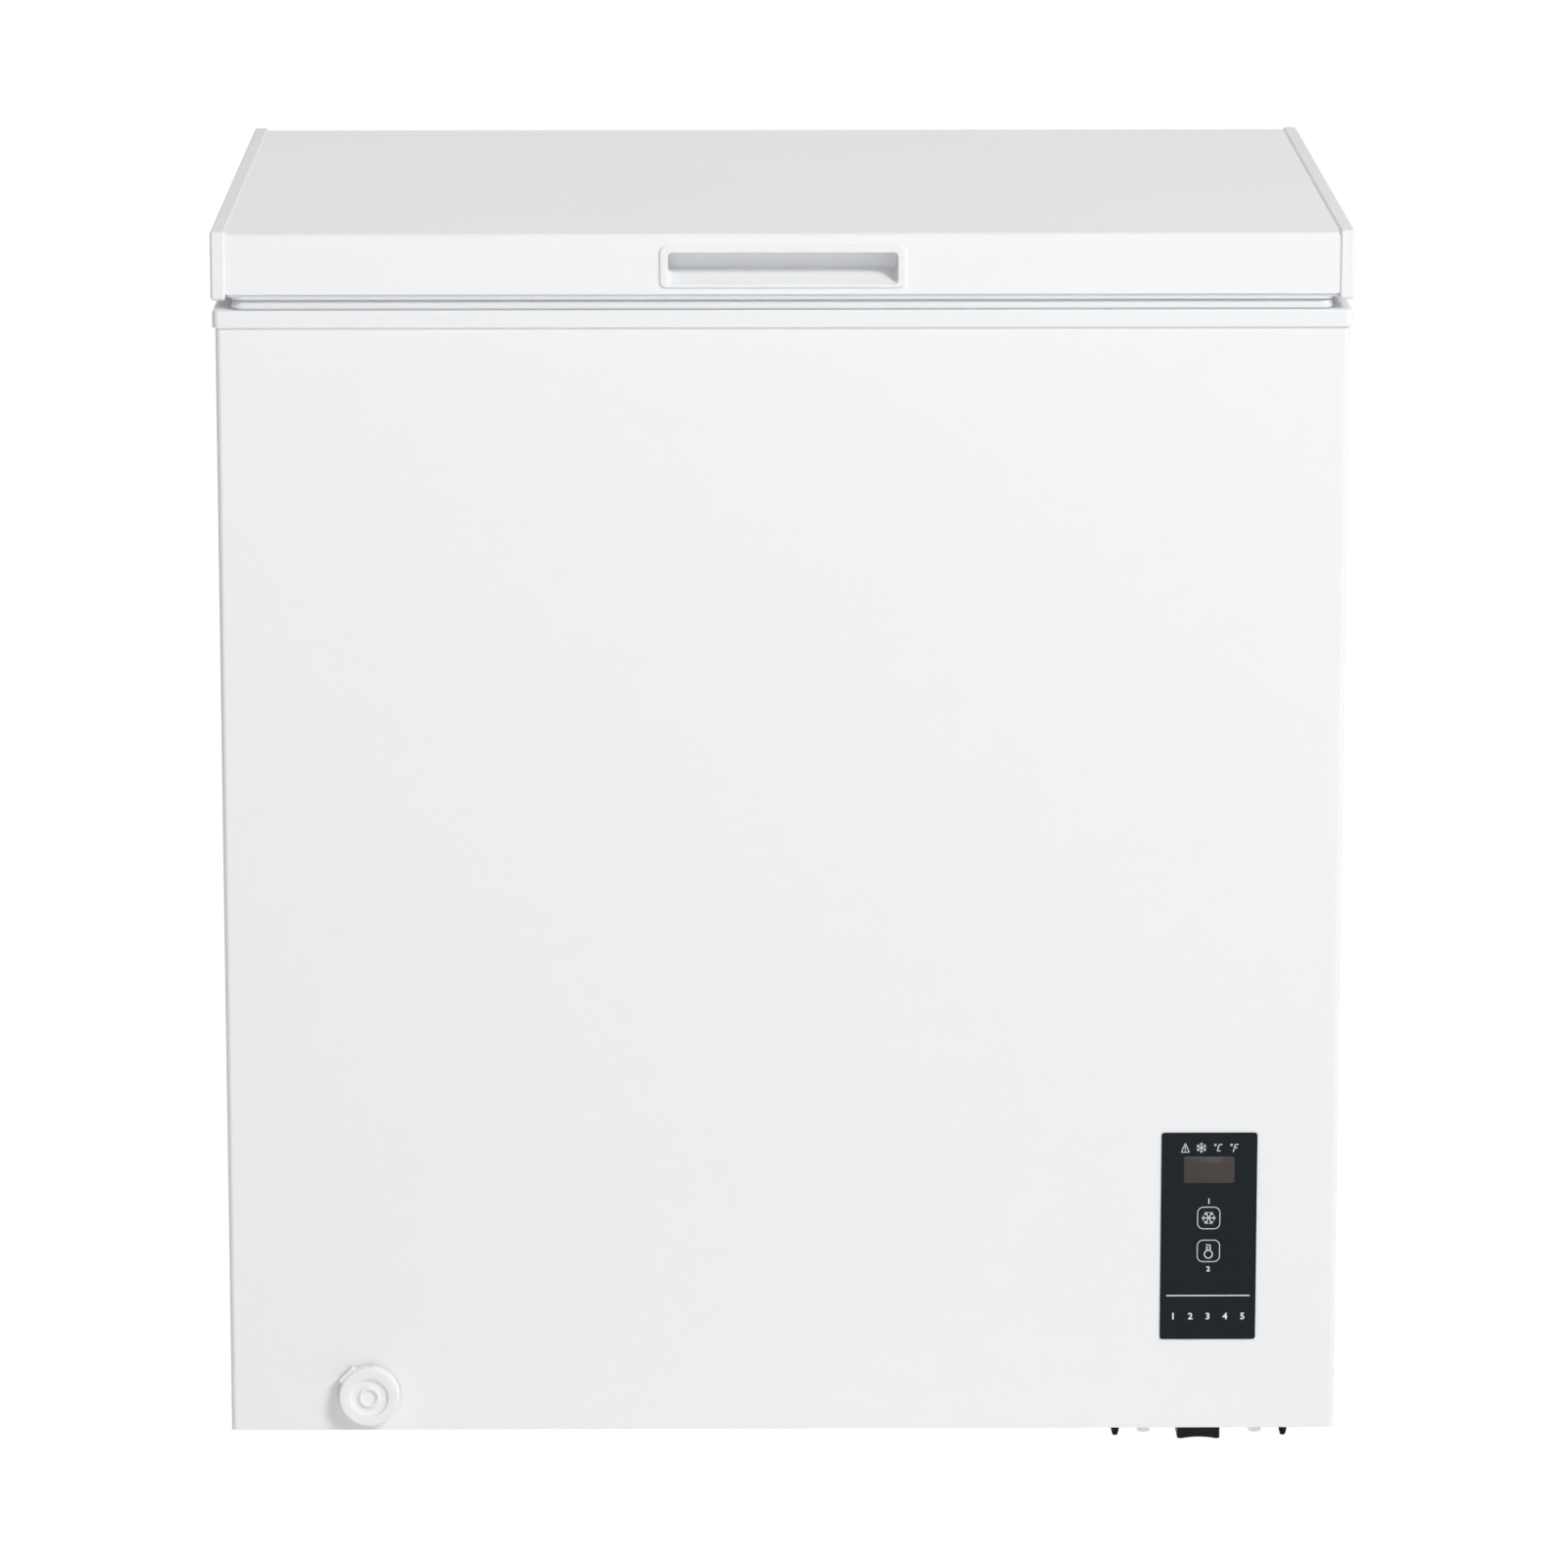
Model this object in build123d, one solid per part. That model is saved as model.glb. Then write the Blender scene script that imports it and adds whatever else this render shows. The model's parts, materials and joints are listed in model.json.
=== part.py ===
from build123d import *
import os

# Chest freezer. Millimetres, +Z up, the front faces -Y, +X is the viewer's right.
# The origin is on the floor, under the middle of the whole appliance's box.

# ---- cabinet sizes ----
CABINET_W = 764.0        # steel cabinet, side to side
CABINET_D = 530.0        # steel cabinet, front to back
CABINET_H = 772.5        # steel that shows below the collar
FLOOR_GAP = 12.0         # air under the cabinet
STEEL = 0.6              # outer sheet
HEM = 25.0               # bottom flange turned inwards
EDGE_R = 4.0             # bend radius of the cabinet's upright corners
WALL = 60.0              # outer face of the cabinet to the inner liner
LINER = 0.8              # inner liner sheet
LINER_R = 26.0           # upright corners of the storage well
FLOOR_FOAM = 60.0        # foam under the storage well

# ---- compressor bay ----
BAY_W = 190.0
BAY_H = 245.0
BAY_SHEET = 1.0
STEP_WALL = 50.0         # foam between the bay and the storage well

# ---- top collar ----
COLLAR_H = 11.5          # outer lip that shows
COLLAR_OVER = 2.0        # stands out past the steel, all round
COLLAR_T = 2.0
COLLAR_R = 5.0
RIM_W = 48.0             # flat top, from the steel's outer face inwards
LEDGE_DROP = 24.0        # basket ledge below the collar's top
LEDGE_W = 13.0
LIP_DROP = 14.0          # inner lip that covers the liner's top edge

# ---- lid ----
LID_OVER_X = 2.5         # end caps stand out past the cabinet, each side
LID_OVER_Y = 2.0         # lid stands out past the cabinet at the front
SEAL_H = 7.0             # gap that the gasket closes
CAP_H = 47.0             # end caps, bottom to top
CAP_W = 9.8
CAP_WALL = 2.5
CAP_PROUD = 1.4          # caps stand above the steel
CAP_R = 2.0
SKIN_LIFT = 4.0          # steel's lower edge above the caps' lower edge
SKIN_R = 3.6             # bend along the lid's front and rear top edges
SKIN_HEM = 14.0
PANEL_T = 2.0            # plastic inner panel
PANEL_INSET = 2.0        # inner panel's edge behind the lid's edge
PLUG_INSET = 64.0        # plug of the inner panel, behind the lid's edge
PLUG_DROP = 21.0         # plug below the inner panel's rim
PLUG_R = 30.0
GASKET_INSET = 13.0
GASKET_W = 16.0
GASKET_WALL = 1.2
ROOT_W = 3.0             # barb that holds the gasket in the inner panel
ROOT_D = 1.2
GASKET_R = 9.0
MAGNET_IN = 3.5
MAGNET_W = 9.0
MAGNET_T = 2.5
PANEL_EDGE_R = 3.0
PANEL_GAP = 0.5          # inner panel to the end caps
SEAT_GAP = 0.3           # running gap of soft or curved faces on another body

# ---- handle ----
HANDLE_W = 166.0
HANDLE_H = 29.0
HANDLE_R = 5.0
HANDLE_PROUD = 1.5
HANDLE_BELOW_TOP = 10.0  # frame's upper edge below the caps' top
FRAME_SIDE = 4.7         # frame's width beside the pocket
FRAME_TOP = 4.0
FRAME_BOTTOM = 2.4
POCKET_D = 23.0
POCKET_WALL = 1.5
POCKET_R = 2.0
FRAME_EDGE_R = 1.2
LIP_RISE = 9.0           # sloped lower lip of the pocket

# ---- control panel ----
PANEL_W = 66.0
PANEL_H = 147.5
PANEL_IN = 88.2          # panel's centre inside the cabinet's right side
PANEL_LOW = 75.8         # lower edge above the floor
PANEL_PROUD = 0.8
PANEL_LAP = 3.0          # fascia's overlap on the steel
PANEL_R = 2.0
FASCIA_T = 6.0
WINDOW_W = 35.0
WINDOW_H = 19.0
WINDOW_BELOW = 16.8      # window's upper edge below the fascia's
KEY = 16.1
KEY_R = 4.5
KEY_GAP = 0.25
KEY_UPPER_BELOW = 60.7   # key centres below the fascia's upper edge
KEY_PITCH = 23.5
KEY_TRAVEL = 0.6
KEY_FLANGE = 2.0
BOARD_T = 1.6
BOARD_BEHIND = 16.0      # board's front face behind the cabinet's front face
HOUSING_D = 28.0
HOUSING_WALL = 2.0
SWITCH = 6.0
SWITCH_H = 3.5
PLUNGER_H = 1.3
PLUNGER_R = 1.75
LEDGE_H = 6.0            # ledges that the board sits on
MODULE_GAP = 1.0         # display block inside the window, each side
SMALL_R = 0.5
KEY_REST = 0.05          # stem to the plunger, past the key's travel

# ---- drain ----
DRAIN_IN = 96.0          # drain inside the cabinet's left side
DRAIN_Z = 38.5
DIAL_R = 21.0
DIAL_PROUD = 12.0
DIAL_T = 10.0
DIAL_GROOVE_R = 13.5
DIAL_BOSS_R = 6.0
DIAL_EDGE_R = 1.6
GROOVE_W = 1.2
GROOVE_D = 0.8
TAB_W = 13.0
TAB_OUT = 2.0            # pointer tab past the dial's edge
TAB_BACK = 2.5           # tab behind the dial's face
TAB_ANGLE = 45.0
DIAL_FACE = 3.5          # dial's face to the spout's end
OUTLET_IN = 4.0          # water outlet behind the spout's end
OUTLET_R = 2.0
SPOUT_R = 9.8
SPOUT_WALL = 2.4
SPOUT_L = 62.0
SPOUT_END_T = 2.0
SEAL_BACK = 8.0          # seal ring from the spout's inner end
SEAL_WIRE = 1.0
SLEEVE_WALL = 2.6
FIT = 0.08               # radial running clearance
DRAIN_BEND = 18.0
SLEEVE_LIP = 1.0
SLEEVE_LIP_R = 3.0
DRAIN_RUN = 95.0         # front face to the upright part of the drain
PLUG_CAP_R = 17.0
PLUG_CAP_T = 5.0
PLUG_CAP_EDGE = 2.0
PLUG_STEM = 8.0          # stem below the well's floor
GRIP_W = 18.0
GRIP_T = 3.0
GRIP_H = 8.0
FLANGE_R = 23.0
FLANGE_T = 1.5

# ---- feet and compressor plate ----
SKID_IN = 92.7           # skids and compressor inside the right side
SKID_W = 29.7
SKID_L = 40.0
SKID_BACK = 13.0         # skid's front face behind the cabinet's
FOOT_IN = 158.0          # feet inside the left side
FOOT_R = 19.0
FOOT_BACK = 58.0
FOOT_STEM_R = 5.0
PLATE_W = 146.0
PLATE_T = 2.0
PLATE_FLANGE = 14.0
PLATE_BOLT_DX = 38.7     # plate bolts either side of the skid
PLATE_BOLT_R = 3.0
WELD_NUT_R = 5.4
WELD_NUT_H = 4.0
PLATE_BOLT_IN = 11.0     # bolt centres behind the cabinet's faces
BOLT_HEAD_AF = 8.5
BOLT_HEAD_H = 5.5
BUFFER_DX = 58.3
BUFFER_R = 3.0
BUFFER_H = 8.5
BUFFER_TIP_R = 1.8
SKID_R = 3.0
SKID_ARCH = 1.2          # hollow under the skid's middle
FOOT_PAD_H = 7.0
FOOT_EDGE_R = 1.5

# ---- compressor ----
POT_R = 62.0
POT_H = 128.0
POT_Y = 60.0
PORT_X = 31.0            # ports either side of the pot's middle
PORT_RISE = 77.0         # ports above the pot's underside
POT_LIFT = 26.0          # underside above the plate
WELD_R = 3.0
WELD_H = 5.0
POT_DOME_R = 28.0
POT_BASE_R = 18.0
PORT_WALL = 1.2
LEG_T = 3.0
LEG_MARGIN = 17.0        # leg frame outside the grommets' centres
LEG_RAIL = 45.0          # width of the leg frame's sides
LEG_R = 16.0
STRUT_W = 60.0           # struts between the leg frame and the pot
STRUT_T = 6.0
STRUT_Y = 29.0
LEG_SPAN_X = 104.0
LEG_SPAN_Y = 150.0
GROMMET_R = 11.0
GROMMET_H = 16.0
NECK_R = 6.8             # grommet's neck, through the leg frame
NECK_H = 3.0             # neck above the leg frame
STUD_R = 4.0
WASHER_R = 10.0
WASHER_T = 1.5
NUT_R = 7.5
NUT_H = 5.0
RELAY_W = 54.0
RELAY_D = 34.0
RELAY_H = 60.0
RELAY_RISE = 28.0
RELAY_IN = 15.5          # relay box reaches inside the pot's outline
RELAY_R = 4.0
PROBE_R = 3.0
PROBE_L = 35.0
PROBE_BELOW = 65.0       # probe's upper end below the step's floor
PROBE_GAP = 0.5
COLD_BACK = 60.0         # cold tube in front of the pot
HOT_R = 2.4
DRIER_R = 8.5
DRIER_L = 70.0
DRIER_TAIL = 25.0
DRIER_GAP = 1.0
CLIP_W = 8.0
COLD_R = 4.0
BEND_R = 22.0
TUBE_SKIN = 0.5          # tube to the sheet that it is taped on
HOT_PASSES = 6
COLD_TURNS = 6

# ---- rear ----
GRILLE_MARGIN = 12.0
GRILLE_T = 1.2
SLOT_W = 62.0
SLOT_H = 5.0
SLOT_ROWS = 12
SLOT_R = 2.2
GRILLE_R = 4.0
GRILLE_LAP = 6.0         # cover's edge outside the cut-out
SCREW_R = 2.0
SCREW_HEAD_R = 4.2
SCREW_HEAD_H = 2.4
SCREW_L = 9.0
GLAND_R = 7.0
GLAND_BORE = 4.2
GLAND_L = 10.0
GLAND_LIP = 4.0
GLAND_LIP_T = 2.0
GLAND_IN = 21.0          # gland beside the bay

# ---- hinges ----
HINGE_IN = 132.0         # hinge centres inside the cabinet's sides
HINGE_PROUD = 18.0       # hinge depth behind the cabinet
PIVOT_BACK = 10.0        # pin behind the cabinet's rear face
PIVOT_ABOVE = 3.0        # pin above the caps' lower edge
PIN_R = 3.0
BARREL_R = 5.5
BARREL_W = 12.0
EAR_GAP = 30.0           # between the bracket's ears
EAR_T = 2.0
HINGE_T = 2.0
BRACKET_W = 64.0
BRACKET_H = 92.0
BRACKET_R = 5.0
EAR_DROP = 42.0          # ears' lower end below the steel's top
EAR_SLOPE = 18.0
COLLAR_CLEAR = 1.0       # bracket's upper edge below the collar
SCREW_EDGE = 9.0         # screw centres inside a hinge plate's edge
ARM_LIFT = 15.0          # arm's wide plate above the pin
ARM_R = 4.0
STRAP_LAP = 8.0
ARM_W = 60.0
ARM_H = 26.0
SPRING_WIRE = 1.3
SPRING_TURNS = 2.1
SPRING_GAP = 0.3

# ---- basket ----
BASKET_W = 250.0
BASKET_H = 178.0
BASKET_GAP = 5.0         # basket's rim to the collar's lip, front and back
BASKET_SIDE = 6.0        # basket's rim to the liner's right wall
RIM_WIRE_R = 2.5
WIRE_R = 1.5
WELD_GAP = 0.05          # between crossing wires
WIRE_PITCH = 25.0
CROSS_PITCH = 48.0
BELTS = 2
BASKET_CORNER = 16.0     # corners cut across the liner's rounding
LOOP_W = 120.0
LOOP_CLEAR = 3.0         # hanging loop to the collar's drop wall
LOOP_BELOW = 12.0        # basket's rim below its hanging loops

# ---- places worked out from the sizes ----
LENGTH_Y = DIAL_PROUD + CABINET_D + HINGE_PROUD
FRONT = DIAL_PROUD - LENGTH_Y / 2
BACK = FRONT + CABINET_D
MID_Y = (FRONT + BACK) / 2
SIDE = CABINET_W / 2
HEM_TOP = FLOOR_GAP + STEEL
BASE_TOP = HEM_TOP + STEEL
COLLAR_LOW = FLOOR_GAP + CABINET_H
COLLAR_TOP = COLLAR_LOW + COLLAR_H
COLLAR_UNDER = COLLAR_TOP - COLLAR_T
LEDGE_TOP = COLLAR_TOP - LEDGE_DROP
LEDGE_UNDER = LEDGE_TOP - COLLAR_T
WELL_FLOOR = BASE_TOP + FLOOR_FOAM
BAY_X = SIDE - STEEL - BAY_W
BAY_TOP = FLOOR_GAP + BAY_H
STEP_X = BAY_X - BAY_SHEET - STEP_WALL
STEP_TOP = BAY_TOP + BAY_SHEET + STEP_WALL
CAP_LOW = COLLAR_TOP + SEAL_H
CAP_TOP = CAP_LOW + CAP_H
SKIN_TOP = CAP_TOP - CAP_PROUD
SKIN_LOW = CAP_LOW + SKIN_LIFT
LID_SIDE = SIDE + LID_OVER_X
SKIN_SIDE = LID_SIDE - CAP_W
LID_FRONT = FRONT - LID_OVER_Y
LID_MID = (LID_FRONT + BACK) / 2
LID_D = BACK - LID_FRONT
RIM_UNDER = SKIN_LOW - PANEL_T
PLUG_LOW = RIM_UNDER - PLUG_DROP
PIVOT_Y = BACK + PIVOT_BACK
PIVOT_Z = CAP_LOW + PIVOT_ABOVE
SLEEVE_BORE = SPOUT_R + FIT
SLEEVE_R = SLEEVE_BORE + SLEEVE_WALL
DRAIN_X = DRAIN_IN - SIDE
DRAIN_Y = FRONT + DRAIN_RUN
PANEL_X = SIDE - PANEL_IN
SKID_X = SIDE - SKID_IN
FOOT_X = FOOT_IN - SIDE
HINGE_X = SIDE - HINGE_IN
HANDLE_TOP = CAP_TOP - HANDLE_BELOW_TOP
HANDLE_LOW = HANDLE_TOP - HANDLE_H
PANEL_TOP = PANEL_LOW + PANEL_H
PANEL_MID = (PANEL_LOW + PANEL_TOP) / 2
PLATE_TOP = HEM_TOP + PLATE_T
POT_LOW = PLATE_TOP + POT_LIFT
POT_TOP = POT_LOW + POT_H


# ---- shape helpers ----
def block(x, y, z):
    """Box between the low and high value of each axis."""
    size = [high - low for low, high in (x, y, z)]
    middle = [(low + high) / 2 for low, high in (x, y, z)]
    return Pos(*middle) * Box(*size)


def slab(width, depth, radius, z, y=0.0, x=0.0):
    """Upright prism on a rectangle with rounded corners, between two heights."""
    outline = RectangleRounded(width, depth, radius) if radius else Rectangle(width, depth)
    return Pos(x, y, z[0]) * extrude(outline, z[1] - z[0])


def cabinet_slab(inset, radius, z):
    """Prism that keeps the same distance inside the cabinet's outer faces."""
    return slab(CABINET_W - 2 * inset, CABINET_D - 2 * inset, radius, z, MID_Y)


def cabinet_core(z):
    """Prism that fills the cabinet inside its steel, with square rear corners."""
    rear = block((-SIDE + STEEL, SIDE - STEEL), (BACK - 2 * EDGE_R, BACK - STEEL), z)
    return cabinet_slab(STEEL, EDGE_R - STEEL, z) + rear


def lid_slab(inset, radius, z):
    """Prism that keeps the same distance inside the lid's outer faces."""
    return slab(2 * (LID_SIDE - inset), LID_D - 2 * inset, radius, z, LID_MID)


def rod(start, end, radius):
    """Round bar between two points."""
    run = Vector(*end) - Vector(*start)
    return Plane(Vector(*start), z_dir=run) * extrude(Circle(radius), run.length)


def ring(start, end, outer, inner):
    """Round tube between two points."""
    return rod(start, end, outer) - rod(start, end, inner)


def facing(width, height, radius, y, x, z):
    """Prism along Y on an upright rectangle with rounded corners."""
    outline = RectangleRounded(width, height, radius)
    return Plane((x, y[0], z), x_dir=(1, 0, 0), z_dir=(0, 1, 0)) * extrude(outline, y[1] - y[0])


def along_x(points, x):
    """Prism along X on a YZ outline."""
    end = Plane((x[0], 0, 0), x_dir=(0, 1, 0), z_dir=(1, 0, 0))
    return extrude(end * make_face(Polyline(*points, close=True)), x[1] - x[0])


def pipe(points, radius, bend):
    """Round bar along straight runs with tangent bends."""
    path = FilletPolyline(*points, radius=bend)
    start = path @ 0
    return sweep(Plane(start, z_dir=path % 0) * Circle(radius), path=path)


def bent_wire(points, radius, closed=False):
    """Straight round bars, mitred where they meet, along a wire's centre line."""
    points = [Vector(*point) for point in points]
    count = len(points) if closed else len(points) - 1
    bars = []
    for index in range(count):
        start, end = points[index], points[(index + 1) % len(points)]
        along = (end - start).normalized()
        reach = along * 2 * radius
        first = closed or index > 0
        last = closed or index < count - 1
        bar = rod(start - reach if first else start, end + reach if last else end, radius)
        if first:
            before = (start - points[index - 1]).normalized()
            bar = split(bar, Plane(start, z_dir=before + along), keep=Keep.TOP)
        if last:
            after = (points[(index + 2) % len(points)] - end).normalized()
            bar = split(bar, Plane(end, z_dir=along + after), keep=Keep.BOTTOM)
        bars.append(bar)
    return bars


def group(pieces):
    """Separate solids that share a node."""
    return Compound(children=[solid for piece in pieces for solid in piece.solids()])


def mirrored(piece):
    """The same piece on the other side of the middle."""
    return mirror(piece, Plane.YZ)


def screw_at(x, y, z):
    """Pan-head screw driven forwards through a rear face at y."""
    head = rod((x, y, z), (x, y + SCREW_HEAD_H, z), SCREW_HEAD_R)
    head = fillet(head.edges().sort_by(Axis.Y)[-1], SCREW_HEAD_H / 2)
    return head + rod((x, y - SCREW_L, z), (x, y, z), SCREW_R)


def screw_holes(places, y):
    """Holes for the screws driven forwards from y."""
    return [rod((x, y - SCREW_L, z), (x, y, z), SCREW_R) for x, z in places]


# ---- screw and bolt places ----
def bracket_screws():
    """Screws of both brackets, below the ears."""
    half = BRACKET_W / 2 - SCREW_EDGE
    rows = (COLLAR_LOW - BRACKET_H + SCREW_EDGE, COLLAR_LOW - BRACKET_H / 2)
    return [(side * HINGE_X + dx, z) for side in (-1, 1) for dx in (-half, half) for z in rows]


def arm_screws():
    """Screws of both lid arms."""
    half = ARM_W / 2 - SCREW_EDGE
    middle = arm_foot() + ARM_H / 2
    return [(side * HINGE_X + dx, middle) for side in (-1, 1) for dx in (-half, half)]


def arm_foot():
    """Lower edge of the arm's wide plate."""
    return PIVOT_Z + ARM_LIFT


def grille_screws():
    """Corner screws of the rear grille."""
    x_low, x_high = BAY_X + GRILLE_MARGIN / 2, SIDE - GRILLE_MARGIN
    z_low, z_high = FLOOR_GAP + HEM / 2, BAY_TOP - GRILLE_MARGIN / 2
    return [(x, z) for x in (x_low, x_high) for z in (z_low, z_high)]


def plate_bolt_places():
    """Bolts of the compressor plate, in the front and rear hems."""
    rows = (FRONT + PLATE_BOLT_IN, BACK - PLATE_BOLT_IN)
    return [(SKID_X + side * PLATE_BOLT_DX, y) for side in (-1, 1) for y in rows]


def leg_places():
    """Grommets under the compressor's legs."""
    return [(SKID_X + sx * LEG_SPAN_X / 2, POT_Y + sy * LEG_SPAN_Y / 2) for sx in (-1, 1) for sy in (-1, 1)]


# ---- cabinet ----
def cabinet_wrap():
    """Front and both sides, bent from one sheet, with a hem along the bottom."""
    shell = cabinet_slab(0, EDGE_R, (FLOOR_GAP, COLLAR_UNDER))
    shell -= cabinet_slab(STEEL, EDGE_R - STEEL, (HEM_TOP, COLLAR_UNDER))
    shell -= cabinet_slab(HEM, 2 * EDGE_R, (FLOOR_GAP, HEM_TOP))
    shell -= block((-SIDE, SIDE), (BACK - EDGE_R, BACK), (FLOOR_GAP, COLLAR_UNDER))
    shell -= facing(panel_cut_w(), panel_cut_h(), PANEL_R, (FRONT, FRONT + STEEL), PANEL_X, PANEL_MID)
    shell -= rod((DRAIN_X, FRONT, DRAIN_Z), (DRAIN_X, FRONT + STEEL, DRAIN_Z), SLEEVE_R)
    for x, y in plate_bolt_places():
        shell -= rod((x, y, FLOOR_GAP), (x, y, HEM_TOP), PLATE_BOLT_R)
    return shell


def rear_panel():
    """Back sheet, with a bottom hem and a cut-out at the compressor bay."""
    panel = block((-SIDE, SIDE), (BACK - STEEL, BACK), (FLOOR_GAP, COLLAR_UNDER))
    panel += block((-SIDE + EDGE_R, SIDE - EDGE_R), (BACK - EDGE_R, BACK), (FLOOR_GAP, HEM_TOP))
    for side in (-1, 1):
        edge = sorted((side * (SIDE - STEEL), side * SIDE))
        panel += block(edge, (BACK - EDGE_R, BACK - STEEL), (FLOOR_GAP, COLLAR_UNDER))
    low, high = FLOOR_GAP + HEM, BAY_TOP - GRILLE_MARGIN
    panel -= block((BAY_X + GRILLE_MARGIN, SIDE - 2 * GRILLE_MARGIN), (BACK - STEEL, BACK), (low, high))
    for hole in screw_holes(bracket_screws() + grille_screws(), BACK):
        panel -= hole
    return panel


def bottom_panel():
    """Sheet under the foam, resting on the hem."""
    left = block((-SIDE, BAY_X - BAY_SHEET), (FRONT, BACK), (HEM_TOP, BASE_TOP))
    return cabinet_core((HEM_TOP, BASE_TOP)) & left


def bay_partition():
    """Folded sheet that closes the foam off from the compressor bay."""
    y = (FRONT + STEEL, BACK - STEEL)
    wall = block((BAY_X - BAY_SHEET, BAY_X), y, (HEM_TOP, BAY_TOP))
    ceiling = block((BAY_X - BAY_SHEET, SIDE - STEEL), y, (BAY_TOP, BAY_TOP + BAY_SHEET))
    sheet = (wall + ceiling) & cabinet_core((HEM_TOP, COLLAR_UNDER))
    for (x, y_pass), radius in ((hot_pass(), HOT_R), (cold_pass(), COLD_R)):
        sheet -= rod((x, y_pass, BAY_TOP), (x, y_pass, BAY_TOP + BAY_SHEET), radius)
    return sheet


def storage_well(inset, lift, top):
    """Space inside the liner, with the raised floor over the compressor bay."""
    low, step = WELL_FLOOR + lift, STEP_TOP + lift
    well = cabinet_slab(WALL + inset, LINER_R - inset, (low, top))
    rise = block((STEP_X - inset, SIDE), (FRONT, BACK), (low, step))
    return well - rise


def inner_liner():
    """Aluminium liner with a step over the compressor bay."""
    liner = storage_well(0, 0, LEDGE_UNDER) - storage_well(LINER, LINER, LEDGE_UNDER)
    return liner - rod((DRAIN_X, DRAIN_Y, WELL_FLOOR), (DRAIN_X, DRAIN_Y, WELL_FLOOR + LINER), SLEEVE_BORE)


def insulation():
    """Foam between the steel and the liner, hollow for the well and the bay."""
    foam = cabinet_core((BASE_TOP, COLLAR_UNDER))
    foam -= cabinet_slab(RIM_W, LINER_R, (LEDGE_UNDER, COLLAR_UNDER))
    foam -= storage_well(0, 0, LEDGE_UNDER)
    foam -= block((BAY_X - BAY_SHEET, SIDE), (FRONT, BACK), (0, BAY_TOP + BAY_SHEET))
    foam -= drain_bend(SLEEVE_R)
    foam -= probe_shape()
    for hole in screw_holes(bracket_screws(), BACK):
        foam -= hole
    return foam


def top_collar():
    """Plastic collar over the cabinet's top edge, with the basket's ledge inside."""
    collar = cabinet_slab(-COLLAR_OVER, COLLAR_R, (COLLAR_LOW, COLLAR_TOP))
    collar = fillet(collar.edges().group_by(Axis.Z)[-1], COLLAR_T)
    collar -= cabinet_slab(0, EDGE_R, (COLLAR_LOW, COLLAR_UNDER))
    collar -= block((-SIDE, SIDE), (BACK - 2 * EDGE_R, BACK), (COLLAR_LOW, COLLAR_UNDER))
    collar -= cabinet_slab(RIM_W, LINER_R, (COLLAR_UNDER, COLLAR_TOP))
    inner = LINER_R - COLLAR_T
    collar += cabinet_slab(RIM_W, LINER_R, (LEDGE_UNDER, COLLAR_TOP))
    collar -= cabinet_slab(RIM_W + COLLAR_T, inner, (LEDGE_TOP, COLLAR_TOP))
    ledge_end = RIM_W + LEDGE_W + COLLAR_T
    collar -= cabinet_slab(ledge_end, inner, (LEDGE_UNDER, LEDGE_TOP))
    lip = cabinet_slab(ledge_end - COLLAR_T, LINER_R - LINER, (LEDGE_UNDER - LIP_DROP, LEDGE_UNDER))
    return collar + (lip - cabinet_slab(ledge_end, inner, (LEDGE_UNDER - LIP_DROP, LEDGE_UNDER)))


def probe_shape():
    """Capsule of the temperature probe, against the liner's rear wall."""
    y = BACK - WALL + PROBE_GAP + PROBE_R
    high = STEP_TOP - PROBE_BELOW
    return rod((0, y, high - PROBE_L), (0, y, high), PROBE_R)


# ---- refrigerant circuit ----
def hot_pass():
    """Where the warm tube leaves the bay, upwards."""
    return SIDE - STEEL - TUBE_SKIN - HOT_R, BACK - WALL / 2


def cold_pass():
    """Where the cold tube comes down into the bay."""
    return SIDE - WALL + TUBE_SKIN + COLD_R, POT_Y - POT_R - COLD_BACK


def condenser_tube():
    """Warm tube that winds to and fro behind the front and side sheets."""
    inset = STEEL + TUBE_SKIN + HOT_R
    right, back = hot_pass()
    front = FRONT + inset
    low, high = STEP_TOP + BEND_R, LEDGE_UNDER - LIP_DROP
    pitch = (high - low) / (HOT_PASSES - 1)
    points = [(right, back, BAY_TOP + BAY_SHEET)]
    for index in range(HOT_PASSES):
        z = low + index * pitch
        sweep_points = [(right, back, z), (right, front, z), (-right, front, z), (-right, back, z)]
        points += sweep_points if index % 2 == 0 else sweep_points[::-1]
    return pipe(points, HOT_R, BEND_R)


def evaporator_tube():
    """Cold tube wound round the liner, above the step."""
    out_x = SIDE - WALL + TUBE_SKIN + COLD_R
    front, back = FRONT + WALL - TUBE_SKIN - COLD_R, BACK - WALL + TUBE_SKIN + COLD_R
    low, high = STEP_TOP + COLD_R, LEDGE_UNDER - LIP_DROP
    fall = (high - low) / (4 * COLD_TURNS)
    corners = [(out_x, back), (-out_x, back), (-out_x, front), (out_x, front)]
    points = [(x, y, high - fall * (4 * turn + side)) for turn in range(COLD_TURNS)
              for side, (x, y) in enumerate(corners)]
    x, y = cold_pass()
    points += [(x, y, points[-1][2] - fall), (x, y, BAY_TOP + BAY_SHEET)]
    return pipe(points, COLD_R, BEND_R)


def port_z():
    """Height of the compressor's ports."""
    return POT_LOW + PORT_RISE


def discharge_tube():
    """Warm gas tube from the compressor's rear port through the bay's ceiling."""
    x, y = hot_pass()
    z = port_z()
    start = (SKID_X + PORT_X, POT_Y + POT_R + WELD_R, z)
    return pipe([start, (start[0], y, z), (x, y, z), (x, y, BAY_TOP + BAY_SHEET)], HOT_R, BEND_R)


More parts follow.
